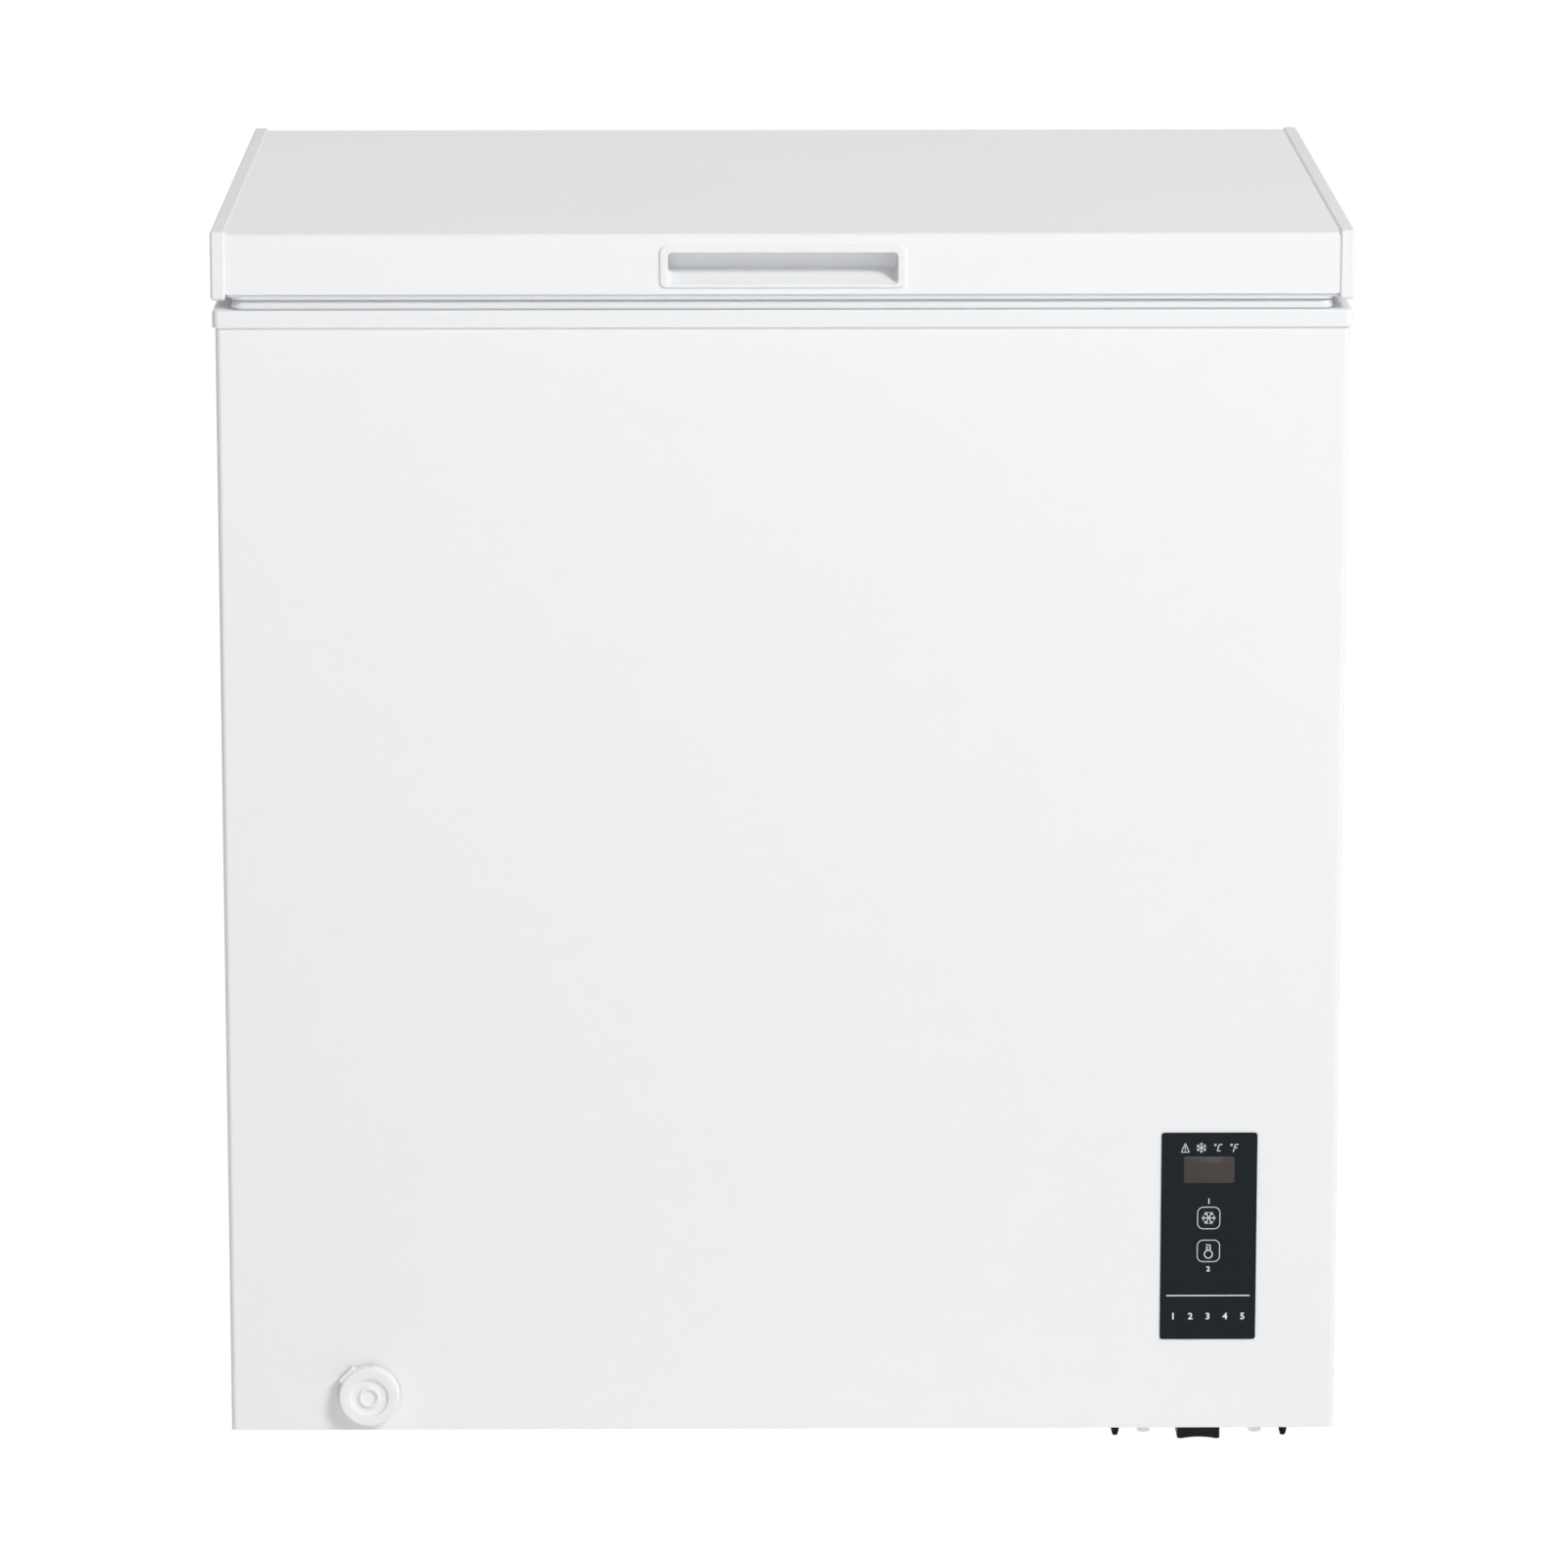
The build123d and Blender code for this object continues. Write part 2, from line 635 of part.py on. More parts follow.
def suction_tube():
    """Cold return tube from the bay's ceiling to the compressor's front port."""
    x, y = cold_pass()
    z = port_z()
    start = (SKID_X - PORT_X, POT_Y - POT_R - WELD_R, z)
    return pipe([start, (start[0], y, z), (x, y, z), (x, y, BAY_TOP + BAY_SHEET)], COLD_R, BEND_R)


def filter_drier():
    """Copper drier clipped to the bay's partition."""
    x, y = BAY_X + DRIER_R + DRIER_GAP, POT_Y + POT_R
    low, high = port_z() - DRIER_L / 2, port_z() + DRIER_L / 2
    can = rod((x, y, low), (x, y, high), DRIER_R)
    can = fillet(can.edges().filter_by(GeomType.CIRCLE), DRIER_R / 2)
    capillary = rod((x, y, low - DRIER_TAIL), (x, y, low), HOT_R / 2)
    inlet = rod((x, y, high), (x, y, high + DRIER_TAIL), HOT_R)
    half = CLIP_W / 2
    clip = block((BAY_X, x), (y - half, y + half), (port_z() - half, port_z() + half))
    return can + capillary + inlet + clip


def compressor_shell():
    """Welded steel pot of the compressor."""
    pot = rod((SKID_X, POT_Y, POT_LOW), (SKID_X, POT_Y, POT_TOP), POT_R)
    pot = fillet(pot.edges().group_by(Axis.Z)[-1], POT_DOME_R)
    pot = fillet(pot.edges().group_by(Axis.Z)[0], POT_BASE_R)
    seam = POT_LOW + POT_H / 2
    pot += rod((SKID_X, POT_Y, seam), (SKID_X, POT_Y, seam + WELD_H), POT_R + WELD_R)
    for side, radius in ((1, HOT_R), (-1, COLD_R)):
        x = SKID_X + side * PORT_X
        pot += rod((x, POT_Y, port_z()), (x, POT_Y + side * (POT_R + WELD_R), port_z()), radius + PORT_WALL)
    return pot


def compressor_legs():
    """Pressed steel legs under the pot, with holes for the grommets."""
    low, high = PLATE_TOP + GROMMET_H - LEG_T, PLATE_TOP + GROMMET_H
    width, depth = LEG_SPAN_X + 2 * LEG_MARGIN, LEG_SPAN_Y + 2 * LEG_MARGIN
    legs = slab(width, depth, LEG_R, (low, high), POT_Y, SKID_X)
    legs -= slab(width - 2 * LEG_RAIL, depth - 2 * LEG_RAIL, LEG_R / 2, (low, high), POT_Y, SKID_X)
    x = (SKID_X - STRUT_W / 2, SKID_X + STRUT_W / 2)
    for side in (-1, 1):
        middle = POT_Y + side * STRUT_Y
        legs += block(x, (middle - STRUT_T / 2, middle + STRUT_T / 2), (low, POT_LOW))
    for x, y in leg_places():
        legs -= rod((x, y, low), (x, y, high), NECK_R)
    return legs


def compressor_grommets():
    """Rubber grommets between the legs and the plate."""
    grommets = []
    low, neck = PLATE_TOP, PLATE_TOP + GROMMET_H - LEG_T
    top = PLATE_TOP + GROMMET_H + NECK_H
    for x, y in leg_places():
        body = rod((x, y, low), (x, y, neck), GROMMET_R) + rod((x, y, neck), (x, y, top), NECK_R)
        grommets.append(body - rod((x, y, low), (x, y, top), STUD_R))
    return group(grommets)


def compressor_bolts():
    """Studs up through the grommets, each with a washer and a nut."""
    bolts = []
    top = PLATE_TOP + GROMMET_H + NECK_H
    for x, y in leg_places():
        stud = rod((x, y, PLATE_TOP), (x, y, top), STUD_R)
        washer = rod((x, y, top), (x, y, top + WASHER_T), WASHER_R)
        nut = Pos(x, y, top + WASHER_T) * extrude(RegularPolygon(NUT_R, 6), NUT_H)
        bolts.append(stud + washer + nut)
    return group(bolts)


def relay_cover():
    """Terminal box clipped on the pot's inner side."""
    x = SKID_X - POT_R + RELAY_IN
    y = (POT_Y - RELAY_W / 2, POT_Y + RELAY_W / 2)
    cover = block((x - RELAY_D, x), y, (POT_LOW + RELAY_RISE, POT_LOW + RELAY_RISE + RELAY_H))
    return fillet(cover.edges().filter_by(Axis.Z), RELAY_R) - compressor_shell()


def compressor_plate():
    """Carrier plate from the front hem to the rear hem."""
    y = (FRONT + STEEL, BACK - STEEL)
    half = PLATE_W / 2
    plate = block((SKID_X - half, SKID_X + half), y, (HEM_TOP, PLATE_TOP))
    for side in (-1, 1):
        edge = sorted((SKID_X + side * (half - PLATE_T), SKID_X + side * half))
        plate += block(edge, (y[0] + HEM, y[1] - HEM), (HEM_TOP, HEM_TOP + PLATE_FLANGE))
    for x, bolt_y in plate_bolt_places():
        plate += rod((x, bolt_y, PLATE_TOP), (x, bolt_y, PLATE_TOP + WELD_NUT_H), WELD_NUT_R)
        plate -= rod((x, bolt_y, HEM_TOP), (x, bolt_y, PLATE_TOP + WELD_NUT_H), PLATE_BOLT_R)
    return plate


def plate_bolts():
    """Hex bolts up through the hems into the plate's weld nuts."""
    bolts = []
    hexagon = RegularPolygon(BOLT_HEAD_AF / 2, 6, major_radius=False)
    for x, y in plate_bolt_places():
        head = Pos(x, y, FLOOR_GAP - BOLT_HEAD_H) * extrude(hexagon, BOLT_HEAD_H)
        bolts.append(head + rod((x, y, FLOOR_GAP), (x, y, PLATE_TOP + WELD_NUT_H), PLATE_BOLT_R))
    return group(bolts)


def plate_buffers():
    """Rubber buffers pressed up into the hems."""
    places = [(SKID_X + side * BUFFER_DX, y) for side in (-1, 1)
              for y in (FRONT + PLATE_BOLT_IN, BACK - PLATE_BOLT_IN)]
    tips = [rod((x, y, FLOOR_GAP - BUFFER_H), (x, y, FLOOR_GAP), BUFFER_R) for x, y in places]
    return group([fillet(tip.edges().sort_by(Axis.Z)[0], BUFFER_TIP_R) for tip in tips])


# ---- feet ----
def skid(y):
    """Black foot under the compressor bay, hollowed under its middle."""
    body = block((SKID_X - SKID_W / 2, SKID_X + SKID_W / 2), y, (0, FLOOR_GAP))
    body = fillet(body.edges().filter_by(Axis.Z), SKID_R)
    arch_r = (SKID_W / 2 - SKID_R) ** 2 / (2 * SKID_ARCH)
    return body - rod((SKID_X, y[0], SKID_ARCH - arch_r), (SKID_X, y[1], SKID_ARCH - arch_r), arch_r)


def foot(y):
    """Round foot under the bottom panel."""
    pad = rod((FOOT_X, y, 0), (FOOT_X, y, FOOT_PAD_H), FOOT_R)
    pad = fillet(pad.edges().filter_by(GeomType.CIRCLE), FOOT_EDGE_R)
    return pad + rod((FOOT_X, y, FOOT_PAD_H), (FOOT_X, y, HEM_TOP), FOOT_STEM_R)


# ---- rear ----
def rear_grille():
    """Slotted cover over the back of the compressor bay."""
    x = (BAY_X, SIDE - GRILLE_LAP)
    z = (FLOOR_GAP + GRILLE_LAP, BAY_TOP)
    cover = block(x, (BACK, BACK + GRILLE_T), z)
    cover = fillet(cover.edges().filter_by(Axis.Y), GRILLE_R)
    middle = (x[0] + x[1]) / 2
    pitch = (z[1] - z[0] - 2 * GRILLE_MARGIN) / SLOT_ROWS
    for row in range(SLOT_ROWS):
        height = z[0] + GRILLE_MARGIN + row * pitch + pitch / 2
        for side in (-1, 1):
            centre = middle + side * (SLOT_W / 2 + GRILLE_MARGIN / 2)
            cover -= facing(SLOT_W, SLOT_H, SLOT_R, (BACK, BACK + GRILLE_T), centre, height)
    for hole_x, hole_z in grille_screws():
        cover -= rod((hole_x, BACK, hole_z), (hole_x, BACK + GRILLE_T, hole_z), SCREW_R)
    return cover


def gland_place():
    """Middle of the cord gland, on the rear panel beside the grille."""
    return BAY_X - GLAND_IN, FLOOR_GAP + HEM + GLAND_R


def cord_gland():
    """Bushing for the mains lead."""
    x, z = gland_place()
    body = rod((x, BACK, z), (x, BACK + GLAND_L, z), GLAND_R)
    body = fillet(body.edges().sort_by(Axis.Y)[-1], FOOT_EDGE_R)
    body += rod((x, BACK, z), (x, BACK + GLAND_LIP_T, z), GLAND_R + GLAND_LIP)
    return body - rod((x, BACK, z), (x, BACK + GLAND_L, z), GLAND_BORE)


# ---- controls ----
def panel_cut_w():
    """Width of the front sheet's cut-out."""
    return PANEL_W - 2 * PANEL_LAP


def panel_cut_h():
    """Height of the front sheet's cut-out."""
    return PANEL_H - 2 * PANEL_LAP


def key_heights():
    """Centres of the upper and lower key."""
    upper = PANEL_TOP - KEY_UPPER_BELOW
    return upper, upper - KEY_PITCH


def window_z():
    """Centre of the display window."""
    return PANEL_TOP - WINDOW_BELOW - WINDOW_H / 2


def control_fascia():
    """Black front plate with the window and the two key openings."""
    plate = facing(PANEL_W, PANEL_H, PANEL_R, (FRONT - PANEL_PROUD, FRONT), PANEL_X, PANEL_MID)
    rear = FRONT - PANEL_PROUD + FASCIA_T
    plate += facing(panel_cut_w(), panel_cut_h(), PANEL_R, (FRONT, rear), PANEL_X, PANEL_MID)
    front = FRONT - PANEL_PROUD
    plate -= facing(WINDOW_W, WINDOW_H, 1.0, (front, rear), PANEL_X, window_z())
    for z in key_heights():
        plate -= facing(KEY + 2 * KEY_GAP, KEY + 2 * KEY_GAP, KEY_R + KEY_GAP, (front, rear), PANEL_X, z)
    return plate


def display_lens():
    """Smoked window, flush in the fascia."""
    front = FRONT - PANEL_PROUD
    return facing(WINDOW_W, WINDOW_H, 1.0, (front, front + PANEL_LAP), PANEL_X, window_z())


def board_front():
    """Front face of the circuit board."""
    return FRONT + BOARD_BEHIND


def display_module():
    """Two-digit display block on the board, up to the lens."""
    y = (FRONT - PANEL_PROUD + PANEL_LAP, board_front())
    width, height = WINDOW_W - 2 * MODULE_GAP, WINDOW_H - 2 * MODULE_GAP
    return facing(width, height, SMALL_R, y, PANEL_X, window_z())


def control_board():
    """Circuit board."""
    y = (board_front(), board_front() + BOARD_T)
    inner = panel_cut_w() - 2 * HOUSING_WALL
    return facing(inner, panel_cut_h() - 2 * HOUSING_WALL, 1.0, y, PANEL_X, PANEL_MID)


def key_switches():
    """Push switches on the board, behind the keys."""
    switches = []
    for z in key_heights():
        front = board_front() - SWITCH_H
        body = facing(SWITCH, SWITCH, SMALL_R, (front, board_front()), PANEL_X, z)
        switches.append(body + rod((PANEL_X, front - PLUNGER_H, z), (PANEL_X, front, z), PLUNGER_R))
    return group(switches)


def control_housing():
    """Box behind the fascia that holds the board."""
    rear = FRONT - PANEL_PROUD + FASCIA_T
    w, h = panel_cut_w(), panel_cut_h()
    box = facing(w, h, PANEL_R, (rear, rear + HOUSING_D), PANEL_X, PANEL_MID)
    inside = (rear, rear + HOUSING_D - HOUSING_WALL)
    box -= facing(w - 2 * HOUSING_WALL, h - 2 * HOUSING_WALL, 1.0, inside, PANEL_X, PANEL_MID)
    ledge_y = (board_front() + BOARD_T, inside[1])
    for side in (-1, 1):
        z = PANEL_MID + side * (h / 2 - HOUSING_WALL - LEDGE_H / 2)
        box += facing(w - 2 * HOUSING_WALL, LEDGE_H, SMALL_R, ledge_y, PANEL_X, z)
    return box


def key(z):
    """Key cap with its retaining flange and the stem that meets the switch."""
    front = FRONT - PANEL_PROUD
    rear = front + FASCIA_T + SEAT_GAP
    cap = facing(KEY, KEY, KEY_R, (front, rear), PANEL_X, z)
    cap += facing(KEY + 2 * KEY_FLANGE, KEY + 2 * KEY_FLANGE, KEY_R, (rear, rear + 1.0), PANEL_X, z)
    tip = board_front() - SWITCH_H - PLUNGER_H - KEY_TRAVEL - KEY_REST
    return cap + rod((PANEL_X, rear + 1.0, z), (PANEL_X, tip, z), PLUNGER_R)


# ---- drain ----
def drain_bend(radius):
    """Round bar along the drain, from the front face up to the well's floor."""
    points = [(DRAIN_X, FRONT, DRAIN_Z), (DRAIN_X, DRAIN_Y, DRAIN_Z), (DRAIN_X, DRAIN_Y, WELL_FLOOR)]
    return pipe(points, radius, DRAIN_BEND)


def drain_sleeve():
    """Tube through the foam, from the front sheet up to the well's floor."""
    ends = [(DRAIN_X, y, DRAIN_Z) for y in (FRONT - SLEEVE_LIP, FRONT)]
    collar = ring(*ends, SLEEVE_R + SLEEVE_LIP_R, SLEEVE_BORE)
    return drain_bend(SLEEVE_R) - drain_bend(SLEEVE_BORE) + collar


def drain_flange():
    """Ring round the drain hole on the well's floor."""
    low = WELL_FLOOR + LINER
    flange = ring((DRAIN_X, DRAIN_Y, low), (DRAIN_X, DRAIN_Y, low + FLANGE_T), FLANGE_R, SLEEVE_BORE)
    return chamfer(flange.edges().group_by(Axis.Z)[-1].sort_by(SortBy.LENGTH)[-1], FLANGE_T / 3)


def drain_plug():
    """Stopper in the well's floor, lifted out by hand."""
    low = WELL_FLOOR + LINER + FLANGE_T + SEAT_GAP
    top = low + PLUG_CAP_T
    cap = rod((DRAIN_X, DRAIN_Y, low), (DRAIN_X, DRAIN_Y, top), PLUG_CAP_R)
    cap = fillet(cap.edges().sort_by(Axis.Z)[-1], PLUG_CAP_EDGE)
    x, y = (DRAIN_X - GRIP_W / 2, DRAIN_X + GRIP_W / 2), (DRAIN_Y - GRIP_T / 2, DRAIN_Y + GRIP_T / 2)
    grip = block(x, y, (top, top + GRIP_H))
    grip = fillet(grip.edges().filter_by(Axis.Y).group_by(Axis.Z)[-1], GRIP_T)
    stem = rod((DRAIN_X, DRAIN_Y, WELL_FLOOR - PLUG_STEM), (DRAIN_X, DRAIN_Y, low), SPOUT_R - SEAT_GAP)
    return cap + grip + stem


def spout_front():
    """Front end of the spout, inside the dial."""
    return FRONT - DIAL_PROUD + DIAL_FACE


def seal_y():
    """Middle of the seal ring's groove on the spout."""
    return spout_front() + SPOUT_L - SEAL_BACK


def outlet(up):
    """Radial water way through the spout's wall or the dial."""
    y = spout_front() + OUTLET_IN
    return rod((DRAIN_X, y, DRAIN_Z), (DRAIN_X, y, DRAIN_Z + up), OUTLET_R)


def drain_spout():
    """Sliding spout that the dial turns on."""
    front, end = spout_front(), spout_front() + SPOUT_L
    tube = rod((DRAIN_X, front, DRAIN_Z), (DRAIN_X, end, DRAIN_Z), SPOUT_R)
    tube -= rod((DRAIN_X, front + SPOUT_END_T, DRAIN_Z), (DRAIN_X, end, DRAIN_Z), SPOUT_R - SPOUT_WALL)
    half = SEAL_WIRE + WELD_GAP
    ends = [(DRAIN_X, y, DRAIN_Z) for y in (seal_y() - half, seal_y() + half)]
    tube -= ring(*ends, SPOUT_R + SEAL_WIRE, SPOUT_R - 2 * SEAL_WIRE)
    return tube - outlet(-2 * SPOUT_R)


def drain_seal():
    """Rubber ring in the spout's groove."""
    return Plane((DRAIN_X, seal_y(), DRAIN_Z), z_dir=(0, 1, 0)) * Torus(SPOUT_R - SEAL_WIRE, SEAL_WIRE)


def drain_dial():
    """Knob with a stepped face, a pointer tab and a radial outlet."""
    front = FRONT - DIAL_PROUD
    back = front + DIAL_T
    dial = rod((DRAIN_X, front, DRAIN_Z), (DRAIN_X, back, DRAIN_Z), DIAL_R)
    dial = fillet(dial.edges().sort_by(Axis.Y)[0], DIAL_EDGE_R)
    reach = DIAL_R + TAB_OUT
    tab = facing(TAB_W, reach, TAB_OUT / 2, (front + TAB_BACK, back), 0, reach / 2)
    dial += Pos(DRAIN_X, 0, DRAIN_Z) * Rot(0, -TAB_ANGLE, 0) * tab
    ends = [(DRAIN_X, y, DRAIN_Z) for y in (front, front + GROOVE_D)]
    for radius in (DIAL_GROOVE_R, DIAL_BOSS_R):
        dial -= ring(*ends, radius, radius - GROOVE_W)
    dial -= rod((DRAIN_X, spout_front() - SEAT_GAP, DRAIN_Z), (DRAIN_X, back, DRAIN_Z), SPOUT_R + FIT)
    return dial - outlet(2 * DIAL_R)


# ---- lid ----
def lid_section(inset, low):
    """Lid's cross-section along X, with its rounded top edges."""
    y = (LID_FRONT + inset, BACK - inset)
    z = (low, SKIN_TOP - inset)
    bar = block((-SKIN_SIDE, SKIN_SIDE), y, z)
    top_edges = bar.edges().filter_by(Axis.X).group_by(Axis.Z)[-1]
    return fillet(top_edges, SKIN_R - inset)


def lid_skin():
    """Painted steel channel over the front, top and rear of the lid."""
    skin = lid_section(0, SKIN_LOW) - lid_section(STEEL, SKIN_LOW + STEEL)
    open_y = (LID_FRONT + SKIN_HEM, BACK - SKIN_HEM)
    skin -= block((-SKIN_SIDE, SKIN_SIDE), open_y, (SKIN_LOW, SKIN_LOW + STEEL))
    skin -= handle_body()
    for x, z in arm_screws():
        skin -= rod((x, BACK - STEEL, z), (x, BACK, z), SCREW_R)
    return skin


def lid_end_cap():
    """Moulded cap over the right-hand end of the lid."""
    y = (LID_FRONT, BACK)
    cap = block((SKIN_SIDE, LID_SIDE), y, (CAP_LOW, CAP_TOP))
    outer = cap.edges().group_by(Axis.X)[-1]
    along_top = cap.edges().filter_by(Axis.X)
    cap = fillet(outer + along_top, CAP_R)
    inside = (y[0] + CAP_WALL, y[1] - CAP_WALL)
    return cap - block((SKIN_SIDE, LID_SIDE - CAP_WALL), inside, (CAP_LOW + CAP_WALL, CAP_TOP - CAP_WALL))


def panel_plug(inset, z):
    """Plug of the inner panel, hanging into the well's mouth."""
    return lid_slab(PLUG_INSET + inset, PLUG_R - inset, z)


def panel_edge(z):
    """Rim of the inner panel, between the end caps."""
    width = 2 * (SKIN_SIDE - PANEL_GAP)
    return slab(width, LID_D - 2 * PANEL_INSET, PANEL_EDGE_R, z, LID_MID)


def lid_inner_panel():
    """Plastic inner panel: a flat rim for the gasket and a plug."""
    panel = panel_edge((RIM_UNDER, SKIN_LOW)) + panel_plug(0, (PLUG_LOW, RIM_UNDER))
    panel -= panel_plug(PANEL_T, (PLUG_LOW + PANEL_T, SKIN_LOW))
    return panel - gasket_root()


def lid_foam():
    """Foam inside the lid and its plug."""
    foam = lid_section(STEEL, SKIN_LOW) + panel_plug(PANEL_T, (PLUG_LOW + PANEL_T, SKIN_LOW))
    for y in ((LID_FRONT, LID_FRONT + SKIN_HEM), (BACK - SKIN_HEM, BACK)):
        foam -= block((-SKIN_SIDE, SKIN_SIDE), y, (SKIN_LOW, SKIN_LOW + STEEL))
    foam -= handle_body()
    for hole in screw_holes(arm_screws(), BACK):
        foam -= hole
    return foam


def gasket_root():
    """Barb that holds the gasket in the inner panel."""
    inset = GASKET_INSET + (GASKET_W - ROOT_W) / 2
    z = (RIM_UNDER, RIM_UNDER + ROOT_D)
    return lid_slab(inset, GASKET_R, z) - lid_slab(inset + ROOT_W, GASKET_R - 2, z)


def gasket_low():
    """Underside of the gasket, just off the collar."""
    return COLLAR_TOP + SEAT_GAP


def lid_gasket():
    """Rubber seal with a hollow chamber for the magnets."""
    z = (gasket_low(), RIM_UNDER)
    seal = lid_slab(GASKET_INSET, GASKET_R, z) - lid_slab(GASKET_INSET + GASKET_W, GASKET_R - 2, z)
    inner = (z[0] + GASKET_WALL, z[1] - GASKET_WALL)
    edge = GASKET_INSET + GASKET_WALL
    far = GASKET_INSET + GASKET_W - GASKET_WALL
    seal -= lid_slab(edge, GASKET_R - GASKET_WALL, inner) - lid_slab(far, GASKET_R - 2, inner)
    return seal + gasket_root()


def gasket_magnets():
    """Flexible magnet strips inside the gasket's four sides."""
    near = GASKET_INSET + MAGNET_IN
    far = near + MAGNET_W
    z = (gasket_low() + GASKET_WALL, gasket_low() + GASKET_WALL + MAGNET_T)
    clear = GASKET_R + far
    long_x = (-LID_SIDE + clear, LID_SIDE - clear)
    long_y = (LID_FRONT + clear, BACK - clear)
    front, back = (LID_FRONT + near, LID_FRONT + far), (BACK - far, BACK - near)
    left, right = (near - LID_SIDE, far - LID_SIDE), (LID_SIDE - far, LID_SIDE - near)
    strips = [block(long_x, y, z) for y in (front, back)] + [block(x, long_y, z) for x in (left, right)]
    return group(strips)


# ---- handle ----
def pocket_outline(wall):
    """YZ outline of the finger pocket, grown by a wall."""
    front = LID_FRONT - HANDLE_PROUD
    low, high = HANDLE_LOW + FRAME_BOTTOM - wall, HANDLE_TOP - FRAME_TOP + wall
    deep = LID_FRONT + POCKET_D + wall
    return [(front, low), (deep, low + LIP_RISE), (deep, high), (front, high)]


def pocket(wall):
    """Finger pocket's space, grown by a wall."""
    half = HANDLE_W / 2 - FRAME_SIDE + wall
    space = along_x(pocket_outline(wall), (-half, half))
    return fillet(space.edges().filter_by(Axis.Y), POCKET_R)


def handle_body():
    """Space that the handle insert takes inside the lid."""
    ahead = (LID_FRONT - 2 * HANDLE_PROUD, LID_FRONT)
    return pocket(POCKET_WALL) - block((-HANDLE_W, HANDLE_W), ahead, (SKIN_LOW, SKIN_TOP))


def handle_insert():
    """Moulded finger pull: a raised frame round a sunk pocket."""
    y = (LID_FRONT - HANDLE_PROUD, LID_FRONT)
    middle = (HANDLE_LOW + HANDLE_TOP) / 2
    frame = facing(HANDLE_W, HANDLE_H, HANDLE_R, y, 0, middle)
    frame = fillet(frame.edges().group_by(Axis.Y)[0], FRAME_EDGE_R)
    return frame + handle_body() - pocket(0)


# ---- hinges ----
def ear_outline(radius):
    """YZ outline of one ear, below its round head."""
    low = COLLAR_LOW - EAR_DROP
    near, far = BACK + HINGE_T, BACK + PIVOT_BACK + radius
    return [(near, low), (far, low + EAR_SLOPE), (far, PIVOT_Z), (near, PIVOT_Z)]


def hinge_bracket(x):
    """Bracket screwed to the rear panel, with two ears for the pin."""
    width = (x - BRACKET_W / 2, x + BRACKET_W / 2)
    z = (COLLAR_LOW - BRACKET_H, COLLAR_LOW - COLLAR_CLEAR)
    bracket = block(width, (BACK, BACK + HINGE_T), z)
    bracket = fillet(bracket.edges().filter_by(Axis.Y), BRACKET_R)
    radius = HINGE_PROUD - PIVOT_BACK
    for side in (-1, 1):
        ear = sorted((x + side * EAR_GAP / 2, x + side * (EAR_GAP / 2 + EAR_T)))
        bracket += along_x(ear_outline(radius), ear)
        bracket += rod((ear[0], PIVOT_Y, PIVOT_Z), (ear[1], PIVOT_Y, PIVOT_Z), radius)
        bracket -= rod((ear[0], PIVOT_Y, PIVOT_Z), (ear[1], PIVOT_Y, PIVOT_Z), PIN_R)
    for hole_x, hole_z in bracket_screws():
        bracket -= rod((hole_x, BACK, hole_z), (hole_x, BACK + HINGE_T, hole_z), SCREW_R)
    return bracket


def hinge_pins():
    """Pins fixed in the brackets' ears."""
    half = EAR_GAP / 2 + EAR_T
    return group([rod((x - half, PIVOT_Y, PIVOT_Z), (x + half, PIVOT_Y, PIVOT_Z), PIN_R)
                  for x in (-HINGE_X, HINGE_X)])


def hinge_arm(x):
    """Arm screwed to the lid's rear face, rolled round the pin."""
    plate = block((x - ARM_W / 2, x + ARM_W / 2), (BACK, BACK + HINGE_T), (arm_foot(), arm_foot() + ARM_H))
    plate = fillet(plate.edges().filter_by(Axis.Y), ARM_R)
    strap = (x - BARREL_W / 2, x + BARREL_W / 2)
    arm = plate + block(strap, (BACK, BACK + HINGE_T), (PIVOT_Z, arm_foot() + STRAP_LAP))
    arm += block(strap, (BACK, PIVOT_Y), (PIVOT_Z, PIVOT_Z + BARREL_R))
    arm += rod((strap[0], PIVOT_Y, PIVOT_Z), (strap[1], PIVOT_Y, PIVOT_Z), BARREL_R)
    arm -= rod((strap[0], PIVOT_Y, PIVOT_Z), (strap[1], PIVOT_Y, PIVOT_Z), PIN_R + FIT)
    for hole_x, hole_z in arm_screws():
        arm -= rod((hole_x, BACK, hole_z), (hole_x, BACK + HINGE_T, hole_z), SCREW_R)
    return arm


def hinge_springs():
    """Torsion springs round the pins, beside the arms."""
    springs = []
    pitch = 2 * SPRING_WIRE + 2 * WELD_GAP
    coil_r = PIN_R + SPRING_GAP + SPRING_WIRE
    for x in (-HINGE_X, HINGE_X):
        start = x + BARREL_W / 2 + SPRING_GAP + SPRING_WIRE
        place = Pos(start, PIVOT_Y, PIVOT_Z) * Rot(0, 90, 0)
        helix = place * Helix(pitch, pitch * SPRING_TURNS, coil_r)
        springs.append(sweep(Plane(helix @ 0, z_dir=helix % 0) * Circle(SPRING_WIRE), path=helix))
    return group(springs)


def screws(places, y):
    """A set of pan-head screws at one depth."""
    return group([screw_at(x, y, z) for x, z in places])


# ---- basket ----
def basket_box():
    """Centre lines of the basket's rim: x and y limits and its height."""
    lip = WALL + LINER + COLLAR_T
    y = (FRONT + lip + BASKET_GAP, BACK - lip - BASKET_GAP)
    x_high = SIDE - lip - BASKET_SIDE
    rim = LEDGE_TOP + SEAT_GAP + RIM_WIRE_R - LOOP_BELOW
    return (x_high - BASKET_W, x_high), y, rim


